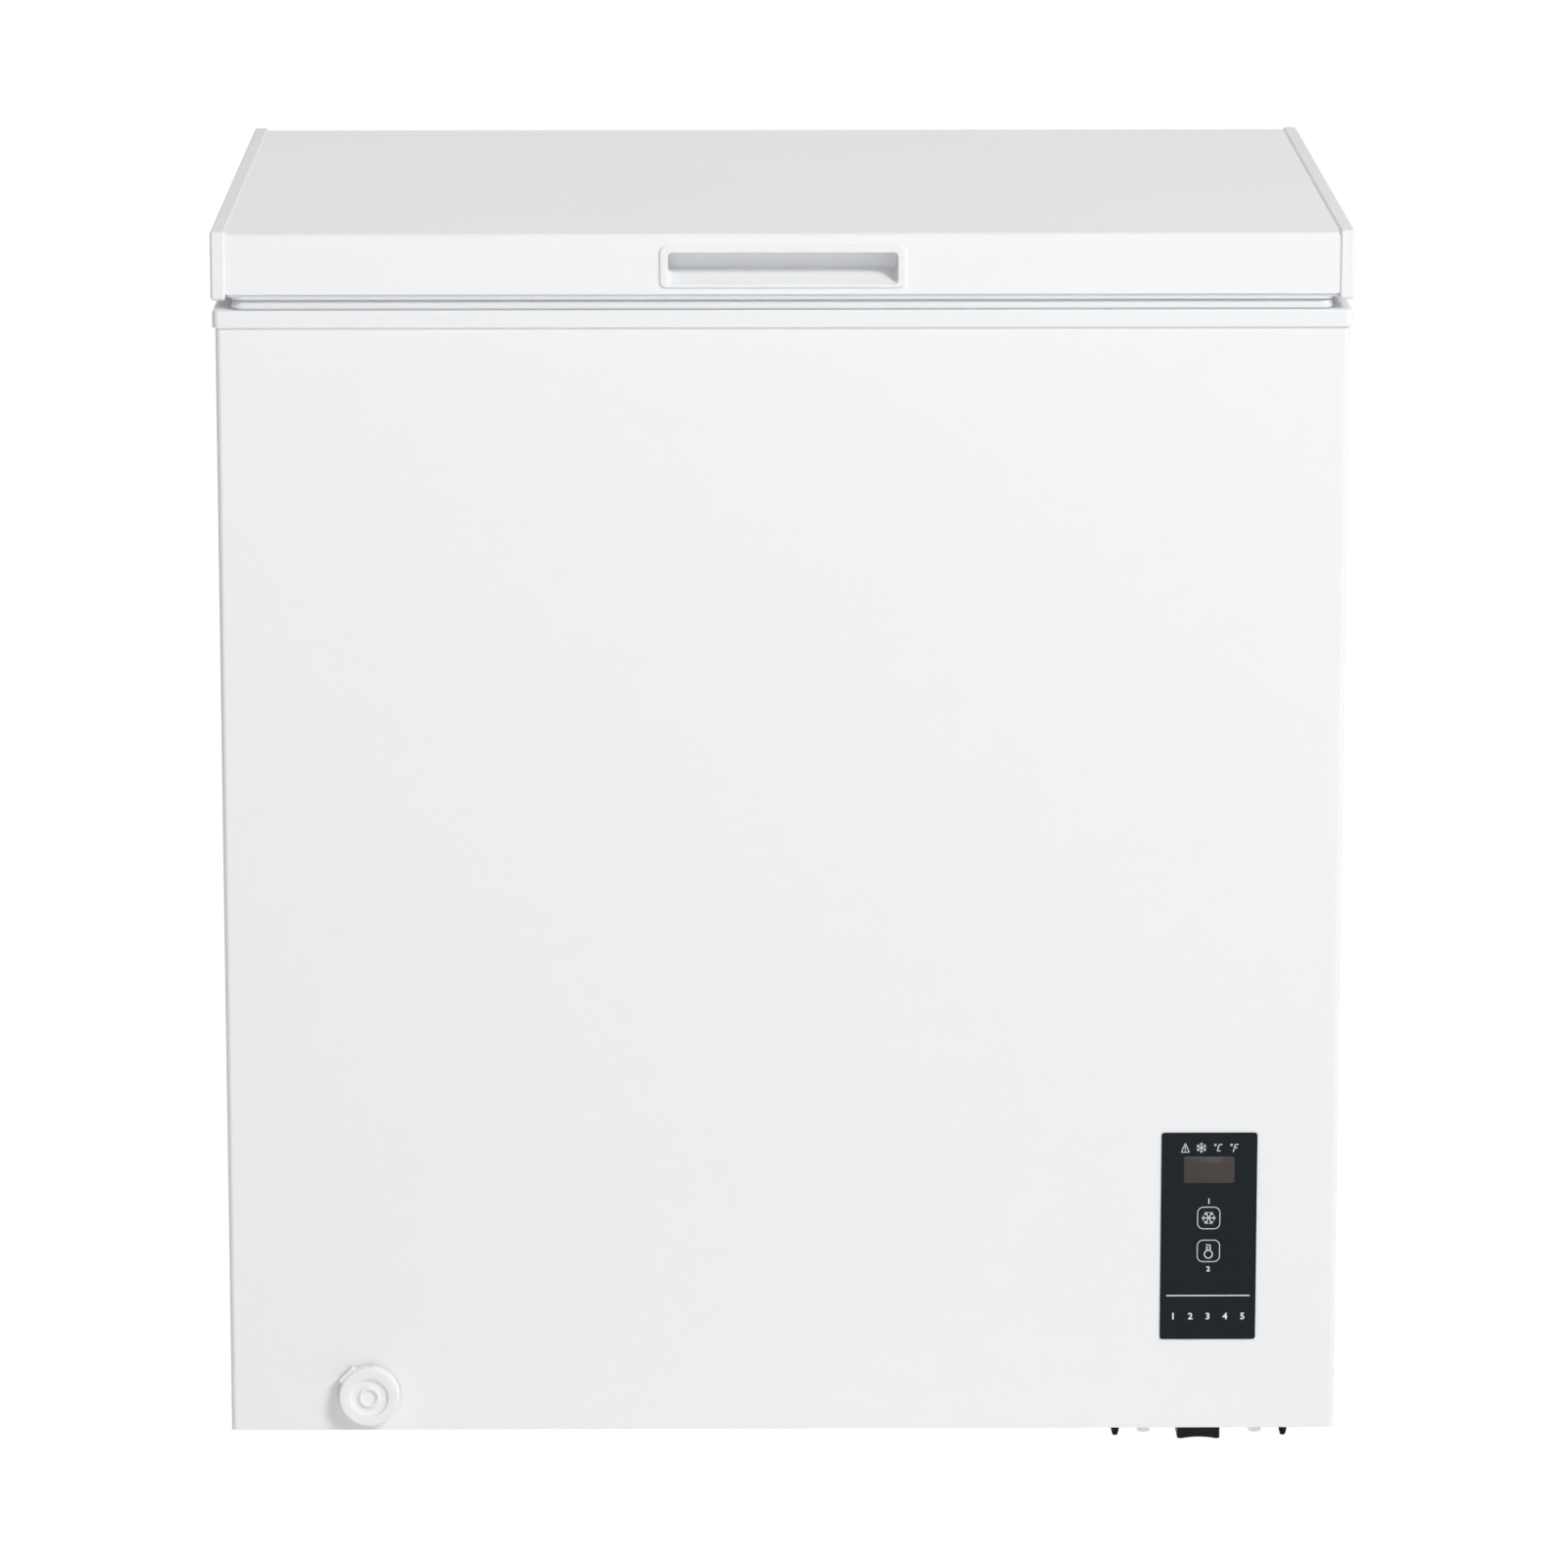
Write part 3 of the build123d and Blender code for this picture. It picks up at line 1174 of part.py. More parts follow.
def basket_loop(inset, z):
    """Corner-cut rectangle inside the rim's centre line."""
    (x0, x1), (y0, y1), _ = basket_box()
    x0, x1, y0, y1 = x0 + inset, x1 - inset, y0 + inset, y1 - inset
    cut = BASKET_CORNER - inset
    return [(x0 + cut, y0, z), (x1 - cut, y0, z), (x1, y0 + cut, z), (x1, y1 - cut, z),
            (x1 - cut, y1, z), (x0 + cut, y1, z), (x0, y1 - cut, z), (x0, y0 + cut, z)]


def basket_frame():
    """Thick rim, two hanging loops and the belts round the basket."""
    (x0, x1), (y0, y1), rim = basket_box()
    bars = bent_wire(basket_loop(0, rim), RIM_WIRE_R, True)
    middle = (x0 + x1) / 2
    loop_x = (middle - LOOP_W / 2, middle + LOOP_W / 2)
    loop_z = rim + LOOP_BELOW
    reach = BASKET_GAP + LEDGE_W + COLLAR_T - RIM_WIRE_R - LOOP_CLEAR
    for y, out in ((y0, -1), (y1, 1)):
        far = y + out * reach
        feet = [(x, y, rim + RIM_WIRE_R) for x in loop_x]
        tops = [(x, y, loop_z) for x in loop_x]
        ends = [(x, far, loop_z) for x in loop_x]
        bars += bent_wire([feet[0], tops[0], ends[0], ends[1], tops[1], feet[1]], RIM_WIRE_R)
    return group(bars)


def basket_wires():
    """Thin U-shaped wires welded inside the rim, both ways, with two belts."""
    (x0, x1), (y0, y1), rim = basket_box()
    inside = RIM_WIRE_R + WIRE_R + WELD_GAP
    low = rim + RIM_WIRE_R - BASKET_H
    top = rim + RIM_WIRE_R
    bars = []
    count = round((x1 - x0) / WIRE_PITCH)
    for index in range(1, count):
        x = x0 + index * (x1 - x0) / count
        y = (y0 + inside, y1 - inside)
        bars += bent_wire([(x, y[0], top), (x, y[0], low), (x, y[1], low), (x, y[1], top)], WIRE_R)
    count = round((y1 - y0) / CROSS_PITCH)
    floor = low + 2 * WIRE_R + WELD_GAP
    for index in range(1, count):
        y = y0 + index * (y1 - y0) / count
        x = (x0 + inside, x1 - inside)
        bars += bent_wire([(x[0], y, top), (x[0], y, floor), (x[1], y, floor), (x[1], y, top)], WIRE_R)
    for belt in range(1, BELTS + 1):
        z = rim - belt * (BASKET_H - inside) / (BELTS + 1)
        bars += bent_wire(basket_loop(RIM_WIRE_R - WIRE_R, z), WIRE_R, True)
    return group(bars)


def skid_rows():
    """Front and rear skid, from their outer to their inner faces."""
    front = FRONT + SKID_BACK
    rear = BACK - SKID_BACK
    return (front, front + SKID_L), (rear - SKID_L, rear)


def build_all():
    """Every node by name."""
    front_skid, rear_skid = skid_rows()
    upper, lower = key_heights()
    cap = lid_end_cap()
    return {
        "cabinet_wrap": cabinet_wrap(),
        "rear_panel": rear_panel(),
        "bottom_panel": bottom_panel(),
        "bay_partition": bay_partition(),
        "insulation": insulation(),
        "inner_liner": inner_liner(),
        "top_collar": top_collar(),
        "temperature_probe": probe_shape(),
        "condenser_tube": condenser_tube(),
        "evaporator_tube": evaporator_tube(),
        "discharge_tube": discharge_tube(),
        "suction_tube": suction_tube(),
        "filter_drier": filter_drier(),
        "compressor_shell": compressor_shell(),
        "compressor_legs": compressor_legs(),
        "compressor_grommets": compressor_grommets(),
        "compressor_bolts": compressor_bolts(),
        "relay_cover": relay_cover(),
        "compressor_plate": compressor_plate(),
        "plate_bolts": plate_bolts(),
        "plate_buffers": plate_buffers(),
        "skid_front": skid(front_skid),
        "skid_rear": skid(rear_skid),
        "foot_front_left": foot(FRONT + FOOT_BACK),
        "foot_rear_left": foot(BACK - FOOT_BACK),
        "rear_grille": rear_grille(),
        "grille_screws": screws(grille_screws(), BACK + GRILLE_T),
        "cord_gland": cord_gland(),
        "control_fascia": control_fascia(),
        "display_lens": display_lens(),
        "display_module": display_module(),
        "control_board": control_board(),
        "key_switches": key_switches(),
        "control_housing": control_housing(),
        "key_upper": key(upper),
        "key_lower": key(lower),
        "drain_sleeve": drain_sleeve(),
        "drain_flange": drain_flange(),
        "drain_plug": drain_plug(),
        "drain_spout": drain_spout(),
        "drain_seal": drain_seal(),
        "drain_dial": drain_dial(),
        "lid_skin": lid_skin(),
        "lid_end_cap_right": cap,
        "lid_end_cap_left": mirrored(cap),
        "lid_foam": lid_foam(),
        "lid_inner_panel": lid_inner_panel(),
        "lid_gasket": lid_gasket(),
        "gasket_magnets": gasket_magnets(),
        "handle_insert": handle_insert(),
        "hinge_bracket_left": hinge_bracket(-HINGE_X),
        "hinge_bracket_right": hinge_bracket(HINGE_X),
        "bracket_screws": screws(bracket_screws(), BACK + HINGE_T),
        "hinge_pins": hinge_pins(),
        "hinge_springs": hinge_springs(),
        "hinge_arm_left": hinge_arm(-HINGE_X),
        "hinge_arm_right": hinge_arm(HINGE_X),
        "arm_screws": screws(arm_screws(), BACK + HINGE_T),
        "basket_frame": basket_frame(),
        "basket_wires": basket_wires(),
    }


os.makedirs("parts", exist_ok=True)
for name, shape in build_all().items():
    export_step(shape, f"parts/{name}.step")
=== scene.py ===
"""Chest freezer: finishes and finely made pieces round the fixed frame of the packed part.

Metres, +Z up, the front faces -Y. Every piece takes its place from the frame's own boxes.
"""

import json
import math

import bmesh
import bpy
from mathutils import Matrix, Vector


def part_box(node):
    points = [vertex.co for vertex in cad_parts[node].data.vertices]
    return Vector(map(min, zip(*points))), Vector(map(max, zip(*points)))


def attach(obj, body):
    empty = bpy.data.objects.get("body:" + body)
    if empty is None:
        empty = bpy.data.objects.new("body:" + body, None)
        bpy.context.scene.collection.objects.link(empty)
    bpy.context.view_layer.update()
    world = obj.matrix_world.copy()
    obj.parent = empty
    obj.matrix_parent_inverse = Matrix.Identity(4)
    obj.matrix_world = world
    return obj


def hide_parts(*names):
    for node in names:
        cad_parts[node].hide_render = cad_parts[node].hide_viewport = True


bl_info = {
    "name": "Chest Freezer",
    "version": (1, 0, 0),
    "blender": (4, 5, 0),
    "location": "View3D > Sidebar > Freezer",
    "description": "Builds the visible pieces of a chest freezer on its fixed frame",
    "category": "Object",
}

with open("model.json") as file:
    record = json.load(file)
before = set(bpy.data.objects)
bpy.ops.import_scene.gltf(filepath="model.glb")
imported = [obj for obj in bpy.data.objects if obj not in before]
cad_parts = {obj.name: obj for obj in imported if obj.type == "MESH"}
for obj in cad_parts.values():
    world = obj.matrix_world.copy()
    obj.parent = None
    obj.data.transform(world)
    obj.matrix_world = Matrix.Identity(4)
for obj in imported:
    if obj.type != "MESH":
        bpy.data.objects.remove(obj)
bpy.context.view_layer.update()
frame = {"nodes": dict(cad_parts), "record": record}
MM = 0.001
NODE_BODY = {node: body for body, nodes in frame["record"]["behaviour"]["bodies"].items() for node in nodes}
BOX = {node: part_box(node) for node in NODE_BODY}


def low(node, axis):
    """Lowest place of a node on an axis."""
    return BOX[node][0]["xyz".index(axis)]


def high(node, axis):
    """Highest place of a node on an axis."""
    return BOX[node][1]["xyz".index(axis)]


def span(node, axis):
    """Lowest and highest place of a node on an axis."""
    return low(node, axis), high(node, axis)


def middle(node, axis):
    """Middle of a node on an axis."""
    return (low(node, axis) + high(node, axis)) / 2


def half(node, axis):
    """Half of a node's size on an axis."""
    return (high(node, axis) - low(node, axis)) / 2


# ---- what a user would change ----
def length(name, text, default):
    """A length property in metres."""
    return bpy.props.FloatProperty(name=name, description=text, default=default, min=0.0, unit="LENGTH",
                                   precision=5)


def colour(name, text, default):
    """A linear colour property."""
    return bpy.props.FloatVectorProperty(name=name, description=text, default=default, size=3, min=0.0,
                                         max=1.0, subtype="COLOR")


def amount(name, text, default, top):
    """A plain number property."""
    return bpy.props.FloatProperty(name=name, description=text, default=default, min=0.0, max=top)


class FreezerColours(bpy.types.PropertyGroup):
    """Colours of the finishes"""
    enamel: colour("Enamel", "Enamelled steel of the cabinet and the lid", (0.905, 0.915, 0.925))
    moulding: colour("Moulding", "White plastic of the collar, caps and handle", (0.9, 0.91, 0.92))
    inner_sheet: colour("Inner sheet", "Vacuum-formed sheet under the lid", (0.86, 0.875, 0.89))
    seal: colour("Seal", "Soft gasket under the lid", (0.83, 0.845, 0.86))
    magnet: colour("Magnet", "Magnet strips inside the gasket", (0.035, 0.03, 0.028))
    black: colour("Black plastic", "Black moulded plastic", (0.012, 0.012, 0.013))
    rubber: colour("Rubber", "Black rubber of buffers and grommets", (0.008, 0.008, 0.009))
    fascia: colour("Fascia", "Control panel", (0.0085, 0.0142, 0.0162))
    lens: colour("Lens", "Smoked display window", (0.054, 0.042, 0.039))
    marks: colour("Marks", "Printed marks of the control panel", (0.82, 0.84, 0.85))
    wire: colour("Wire", "Dipped coat of the basket's wires", (0.9, 0.91, 0.92))
    pot: colour("Compressor", "Black paint of the compressor", (0.012, 0.012, 0.013))
    board: colour("Board", "Solder mask of the circuit board", (0.02, 0.16, 0.07))
    foam: colour("Foam", "Insulating foam", (0.82, 0.72, 0.46))
    zinc: colour("Zinc", "Plated screws, pins and bolts", (0.66, 0.67, 0.69))
    galvanised: colour("Galvanised", "Galvanised sheet", (0.56, 0.58, 0.6))
    copper: colour("Copper", "Refrigerant tubes", (0.72, 0.38, 0.23))
    liner: colour("Liner", "Embossed sheet of the storage well", (0.8, 0.815, 0.83))


class FreezerEdges(bpy.types.PropertyGroup):
    """Rounding of the edges"""
    sheet: length("Sheet", "Rounding of sheet metal edges", 0.35 * MM)
    moulding: length("Moulding", "Rounding of moulded plastic edges", 0.9 * MM)
    small: length("Small parts", "Rounding of small parts", 0.25 * MM)
    roll: length("Cabinet's lower edge", "Rolled edge along the cabinet's foot", 1.4 * MM)
    hem: length("Lid's lower edge", "Rolled lower edge of the lid's steel", 0.8 * MM)
    cap: length("Cap's inner edge", "Slope where an end cap meets the steel", 1.1 * MM)
    end: length("Cap's outer edge", "Rounding of an end cap's outer edge", 2.0 * MM)
    proud: length("Cap's rise", "Height of an end cap over the lid's front and rear", 1.3 * MM)


class FreezerHandle(bpy.types.PropertyGroup):
    """Finger handle in the lid's front"""
    side: length("Side", "Frame's width beside the finger space", 5.8 * MM)
    over: length("Over", "Frame's width above the finger space", 5.1 * MM)
    under: length("Under", "Frame's width below the finger space", 2.4 * MM)
    frame_corner: length("Frame corner", "Corner radius of the frame", 5.0 * MM)
    corner: length("Corner", "Corner radius of the finger space", 2.8 * MM)
    wall: length("Wall", "Wall of the finger space", 1.5 * MM)
    rise: length("Rise", "Rise of the sloping lower lip", 8.0 * MM)


class FreezerKnob(bpy.types.PropertyGroup):
    """Knob of the drain"""
    edge: length("Edge", "Rounding of the knob's outer edge", 1.7 * MM)
    rim: length("Rim", "Radius inside the knob's raised rim", 13.3 * MM)
    dish: length("Dish", "Depth of the dished face", 1.7 * MM)
    boss: length("Boss", "Radius of the raised ring in the middle", 6.2 * MM)
    tab: length("Tab", "Width of the grip at the knob's edge", 13.0 * MM)


class FreezerSeal(bpy.types.PropertyGroup):
    """Section of the lid's gasket"""
    wall: length("Wall", "Thickness of the gasket's bellows", 0.9 * MM)
    lip: length("Lip", "Reach of the front wiping lip", 10.4 * MM)
    bead: length("Bead", "Reach of the bead along the lid's front edge", 12.4 * MM)


class FreezerWires(bpy.types.PropertyGroup):
    """Wires of the hanging basket"""
    rim: length("Rim wire", "Radius of the rim and handle wires", 2.5 * MM)
    thin: length("Thin wire", "Radius of the basket's thin wires", 1.5 * MM)
    bend: length("Bend", "Bend radius of the thin wires", 14.0 * MM)
    loop: length("Loop", "Width of the hanging loops at the basket's ends", 120.0 * MM)


class FreezerFasteners(bpy.types.PropertyGroup):
    """Screws and bolts"""
    dome: length("Dome", "Height of a screw head's crown", 0.9 * MM)
    cross: length("Cross", "Width of a screw head's cross recess", 1.1 * MM)
    recess: length("Recess", "Depth of a screw head's cross recess", 1.0 * MM)


class FreezerMarks(bpy.types.PropertyGroup):
    """Printed marks of the control panel"""
    line: length("Line", "Width of the thin printed lines", 0.5 * MM)
    bold: length("Bold", "Width of the bold printed lines", 0.8 * MM)
    corner: length("Window corner", "Corner radius of the display window", 1.8 * MM)
    film: length("Film", "Thickness of the printed film", 0.06 * MM)
    icon: length("Icon", "Height of the warning sign", 6.2 * MM)


class FreezerStudio(bpy.types.PropertyGroup):
    """Camera and lights"""
    distance: length("Distance", "Camera to the freezer's middle, along Y", 5.4)
    eye: length("Eye height", "Height of the camera", 1.59)
    lens: amount("Lens", "Focal length in millimetres", 177.0, 400.0)
    ambient: amount("Ambient", "Strength of the surrounding light", 0.268, 5.0)
    key: amount("Key light", "Power of the light high on the right", 303.0, 2000.0)
    front: amount("Front light", "Power of the broad light low in front", 36.0, 2000.0)
    back: amount("Back light", "Power of the broad light behind", 85.0, 2000.0)


GROUPS = {
    "freezer_colours": FreezerColours, "freezer_edges": FreezerEdges, "freezer_handle": FreezerHandle,
    "freezer_knob": FreezerKnob, "freezer_seal": FreezerSeal, "freezer_wires": FreezerWires,
    "freezer_fasteners": FreezerFasteners, "freezer_marks": FreezerMarks, "freezer_studio": FreezerStudio,
}


# ---- finishes ----
class Wire:
    """A socket's number, on which Python's operators add Math nodes."""

    def __init__(self, finish, socket):
        self.finish, self.socket = finish, socket

    def math(self, operation, *values):
        return self.finish.node("ShaderNodeMath", {"operation": operation}, dict(enumerate(values)))

    def __add__(self, other):
        return self.math("ADD", self, other)

    def __sub__(self, other):
        return self.math("SUBTRACT", self, other)

    def __rsub__(self, other):
        return self.math("SUBTRACT", other, self)

    def __mul__(self, other):
        return self.math("MULTIPLY", self, other)

    def clamped(self):
        return self.finish.node("ShaderNodeClamp", {}, {0: self})

    __radd__, __rmul__ = __add__, __mul__


class Finish:
    """A material whose nodes are written as Python expressions."""

    def __init__(self, name, slot, **constants):
        self.material = bpy.data.materials.new(name)
        self.material.use_nodes = True
        self.slot = slot
        self.tree = self.material.node_tree
        self.shader = self.tree.nodes["Principled BSDF"]
        self.place = self.node("ShaderNodeTexCoord", {}, {}, "Object")
        self.feed(**constants)

    def node(self, kind, settings, inputs, output=0):
        """Any node: its type, its settings, its sockets' values or links, and the output wanted."""
        made = self.tree.nodes.new(kind)
        for key, value in settings.items():
            setattr(made, key, value)
        for key, value in inputs.items():
            if isinstance(value, Wire):
                self.tree.links.new(value.socket, made.inputs[key])
            else:
                made.inputs[key].default_value = value
        return Wire(self, made.outputs[output])

    def feed(self, **values):
        """Values or links of the shader's own sockets, with _ for a space in a name."""
        for key, value in values.items():
            socket = self.shader.inputs[key.replace("_", " ")]
            if isinstance(value, Wire):
                self.tree.links.new(value.socket, socket)
            else:
                socket.default_value = value

    def noise(self, size, detail=2.0):
        """Soft noise whose features are about this many metres."""
        spread = {"Vector": self.place, "Scale": 1.0 / size, "Detail": detail}
        return self.node("ShaderNodeTexNoise", {}, spread)

    def cells(self, size, feature="F1", output="Distance"):
        """Cell pattern whose cells are about this many metres."""
        spread = {"Vector": self.place, "Scale": 1.0 / size}
        return self.node("ShaderNodeTexVoronoi", {"feature": feature}, spread, output)

    def cover(self, mask, first, second, rough, heights, depth):
        """A colour between two, a roughness, and a bump whose full height is this many metres."""
        tones = {0: mask, 6: (*first, 1.0), 7: (*second, 1.0)}
        tint = self.node("ShaderNodeMix", {"data_type": "RGBA"}, tones, 2)
        bump = self.node("ShaderNodeBump", {}, {"Height": heights, "Distance": depth, "Strength": 1.0})
        self.feed(Base_Color=tint, Roughness=rough, Normal=bump)


def toned(tone, part):
    """A colour made darker or lighter."""
    return tuple(min(1.0, channel * part) for channel in tone)


# smooth coats: material, slot, roughness, grain and bump in millimetres, darkest part of the tone, constants
COATS = {
    "enamel": ("white_enamel", "painted_steel", 0.38, 4.0, 0.016, 0.985,
               {"Coat_Weight": 0.25, "Coat_Roughness": 0.12}),
    "moulding": ("white_moulding", "white_plastic", 0.42, 0.7, 0.015, 0.98, {}),
    "inner_sheet": ("formed_sheet", "inner_plastic", 0.44, 1.1, 0.04, 0.97, {}),
    "seal": ("soft_seal", "rubber_white", 0.55, 0.5, 0.02, 0.94, {}),
    "magnet": ("magnet_strip", "rubber_magnet", 0.7, 0.4, 0.03, 0.8, {}),
    "black": ("black_moulding", "black_plastic", 0.45, 0.6, 0.05, 0.7, {"Specular_IOR_Level": 0.15}),
    "rubber": ("black_rubber", "rubber_black", 0.62, 0.5, 0.06, 0.6, {"Specular_IOR_Level": 0.12}),
    "fascia": ("fascia_skin", "fascia_black", 0.34, 0.5, 0.012, 0.85, {"Specular_IOR_Level": 0.12}),
    "lens": ("smoked_window", "smoked_lens", 0.16, 2.0, 0.004, 0.9, {"Specular_IOR_Level": 0.3}),
    "marks": ("printed_marks", "fascia_black", 0.5, 0.3, 0.004, 0.93, {}),
    "wire": ("dipped_wire", "wire_white", 0.4, 2.4, 0.05, 0.96, {"Coat_Weight": 0.3, "Coat_Roughness": 0.15}),
    "pot": ("compressor_paint", "black_steel", 0.34, 2.2, 0.07, 0.75, {"Coat_Weight": 0.35}),
}


def plain_coat(tone, name, slot, rough, grain, depth, darkest, constants):
    """Smooth moulded or painted skin: fine grain, cloudy gloss and a faint change of tone."""
    made = Finish(name, slot, **constants)
    cloud = made.noise(160 * MM, 3.0)
    fine = made.noise(grain * MM, 0.5)
    coarse = made.noise(4.5 * grain * MM, 0.0)
    made.cover(cloud * 0.7 + fine * 0.3, toned(tone, darkest), tone,
               (cloud - 0.5) * 0.1 + (fine - 0.5) * 0.03 + rough, fine * 0.7 + coarse * 0.3, depth * MM)
    return made


def build_finishes():
    """Every finish of the freezer, by name."""
    colours = bpy.context.scene.freezer_colours
    tones = {key: tuple(getattr(colours, key)) for key in FreezerColours.__annotations__}
    made = {key: plain_coat(tones[key], *coat) for key, coat in COATS.items()}
    dust = (made["pot"].noise(9 * MM, 6.0) - 0.52).clamped()
    made["pot"].feed(Roughness=dust * 1.4 + 0.32)

    board = made["board"] = Finish("solder_mask", "board_green", Coat_Weight=0.3)
    tracks = {"Vector": board.place, "Scale": 260.0, "Mortar Size": 0.05}
    runs = board.node("ShaderNodeTexBrick", {}, tracks, "Fac")
    board.cover(runs, tones["board"], toned(tones["board"], 1.9), board.noise(2 * MM) * 0.2 + 0.3,
                runs, 0.04 * MM)

    foam = made["foam"] = Finish("foam_skin", "foam", Specular_IOR_Level=0.2)
    pores = foam.cells(2.4 * MM)
    foam.cover(foam.noise(30 * MM, 5.0), tones["foam"], toned(tones["foam"], 0.78), pores * 0.15 + 0.8,
               pores * -1.0, 0.5 * MM)

    zinc = made["zinc"] = Finish("zinc_plate", "zinc", Metallic=1.0)
    haze = zinc.noise(1.2 * MM, 5.0)
    zinc.cover(zinc.noise(5 * MM), toned(tones["zinc"], 0.86), toned(tones["zinc"], 1.12), haze * 0.25 + 0.22,
               haze, 0.02 * MM)

    sheet = made["galvanised"] = Finish("galvanised_sheet", "galvanised", Metallic=1.0)
    spangle = sheet.node("ShaderNodeSeparateColor", {}, {0: sheet.cells(7 * MM, "F1", "Color")})
    sheet.cover(spangle, toned(tones["galvanised"], 0.8), toned(tones["galvanised"], 1.15),
                spangle * 0.22 + 0.34, sheet.noise(1.5 * MM, 4.0), 0.03 * MM)

    copper = made["copper"] = Finish("copper_tube", "copper", Metallic=1.0)
    tarnish = (copper.noise(14 * MM, 5.0) * 1.6 - 0.45).clamped()
    copper.cover(tarnish, tones["copper"], toned(tones["copper"], 0.45), tarnish * 0.3 + 0.24,
                 copper.noise(0.8 * MM, 3.0), 0.015 * MM)

    liner = made["liner"] = Finish("embossed_sheet", "liner", Metallic=0.35)
    stamped, fold = liner.cells(4.2 * MM, "SMOOTH_F1"), liner.noise(3.2 * MM, 1.0)
    liner.cover(liner.noise(200 * MM, 3.0), toned(tones["liner"], 0.95), toned(tones["liner"], 1.04),
                fold * 0.16 + 0.3, stamped * 0.6 + fold * 0.4, 0.35 * MM)

    tube = made["tube"] = Finish("bare_tube", "liner", Metallic=1.0)
    streak, dull, bright = tube.noise(2 * MM, 4.0), (0.62, 0.63, 0.65), (0.78, 0.79, 0.8)
    tube.cover(streak, dull, bright, streak * 0.2 + 0.3, streak, 0.02 * MM)
    return made


FINISH = {}


# ---- mesh helpers ----
WELD = 0.002 * MM


def arc(steps, whole=math.pi / 2):
    """Angles from nothing to a whole turn or a quarter of one."""
    return [whole * step / steps for step in range(steps + 1)]


def rounding(steps):
    """Distances from the two sides of a quarter round, as parts of its radius."""
    return [(1 - math.cos(turn), 1 - math.sin(turn)) for turn in arc(steps)]


def circle(count, radius=1.0, centre=(0.0, 0.0)):
    """Points round a circle."""
    return [(centre[0] + radius * math.cos(turn), centre[1] + radius * math.sin(turn))
            for turn in arc(count, math.tau)[:-1]]


def round_loop(x, y, radius, steps=8):
    """Points round a rectangle with rounded corners, seen from above."""
    points = []
    for cx, cy, start in ((x[1], y[1], 0), (x[0], y[1], 90), (x[0], y[0], 180), (x[1], y[0], 270)):
        cx += radius if cx == x[0] else -radius
        cy += radius if cy == y[0] else -radius
        for step in range(steps + 1):
            turn = math.radians(start + 90 * step / steps)
            points.append((cx + radius * math.cos(turn), cy + radius * math.sin(turn)))
    return points


def inset_loop(x, y, inset, radius):
    """Points round a rounded rectangle that is drawn in evenly."""
    return round_loop((x[0] + inset, x[1] - inset), (y[0] + inset, y[1] - inset), radius - inset)


def skinned(name, shape, sharp=35):
    """A closed mesh from a bmesh: doubles merged, faces outwards, smooth apart from sharp edges."""
    bmesh.ops.remove_doubles(shape, verts=shape.verts, dist=WELD)
    bmesh.ops.recalc_face_normals(shape, faces=shape.faces)
    for face in shape.faces:
        face.smooth = True
    mesh = bpy.data.meshes.new(name)
    shape.to_mesh(mesh)
    shape.free()
    mesh.set_sharp_from_angle(angle=math.radians(sharp))
    return mesh


def stitched(shape, rings, closed=False):
    """Faces through rings of points, with the ends capped or joined to each other."""
    rows = [[shape.verts.new(point) for point in ring] for ring in rings]
    for first, second in list(zip(rows, rows[1:])) + ([(rows[-1], rows[0])] if closed else []):
        for index, corner in enumerate(first):
            following = (index + 1) % len(first)
            shape.faces.new((corner, first[following], second[following], second[index]))
    if not closed:
        shape.faces.new(rows[0][::-1])
        shape.faces.new(rows[-1])


def through(name, rings, closed=False, sharp=35):
    """A closed mesh through rings of points."""
    shape = bmesh.new()
    stitched(shape, rings, closed)
    return skinned(name, shape, sharp)


def turned(shape, profile, place, steps=64, closed=False):
    """A shape of revolution through (radius, height) points, about the Z axis of a placing matrix."""
    stitched(shape, [[place @ Vector((*spot, height)) for spot in circle(steps, radius)]
                     for radius, height in profile], closed)


def prism(shape, outline, place, thick):
    """A flat outline given a thickness along the Z axis of a placing matrix."""
    stitched(shape, [[place @ Vector((u, v, h)) for u, v in outline] for h in (0.0, thick)])


def bent(points, radius):
    """Centre line whose corners are rounded to a bend radius."""
    points = [Vector(point) for point in points]
    line = [points[0]]
    for before, corner, after in zip(points, points[1:], points[2:]):
        come, go = (corner - before).normalized(), (after - corner).normalized()
        turn = come.angle(go)
        centre = corner + (go - come).normalized() * radius / math.cos(turn / 2)
        start = corner - come * radius * math.tan(turn / 2) - centre
        line += [centre + Matrix.Rotation(part, 3, come.cross(go)) @ start for part in arc(6, turn)]
    return line + [points[-1]]


def drawn(shape, line, radius, closed=False, sides=12):
    """Round wire along a centre line."""
    count = len(line)
    along = []
    for index in range(count):
        before = line[index - 1] if closed or index else line[0]
        after = line[(index + 1) % count] if closed or index + 1 < count else line[-1]
        along.append((after - before).normalized())
    across = Vector((0, 0, 1)) if closed else along[0].orthogonal().normalized()
    rings = []
    for spot, way in zip(line, along):
        across = (across - way * across.dot(way)).normalized()
        third = way.cross(across)
        rings.append([spot + (across * u + third * v) * radius for u, v in circle(sides)])
    if not closed:
        tips = [[at + (point - at) * 0.7 + way * radius * 0.25 for point in ring]
                for ring, way, at in ((rings[0], -along[0], line[0]), (rings[-1], along[-1], line[-1]))]
        rings = [tips[0], *rings, tips[1]]
    stitched(shape, rings, closed)


def linked(name, data):
    """An object in the scene that holds a mesh, a curve or a lamp."""
    thing = bpy.data.objects.new(name, data)
    bpy.context.scene.collection.objects.link(thing)
    return thing


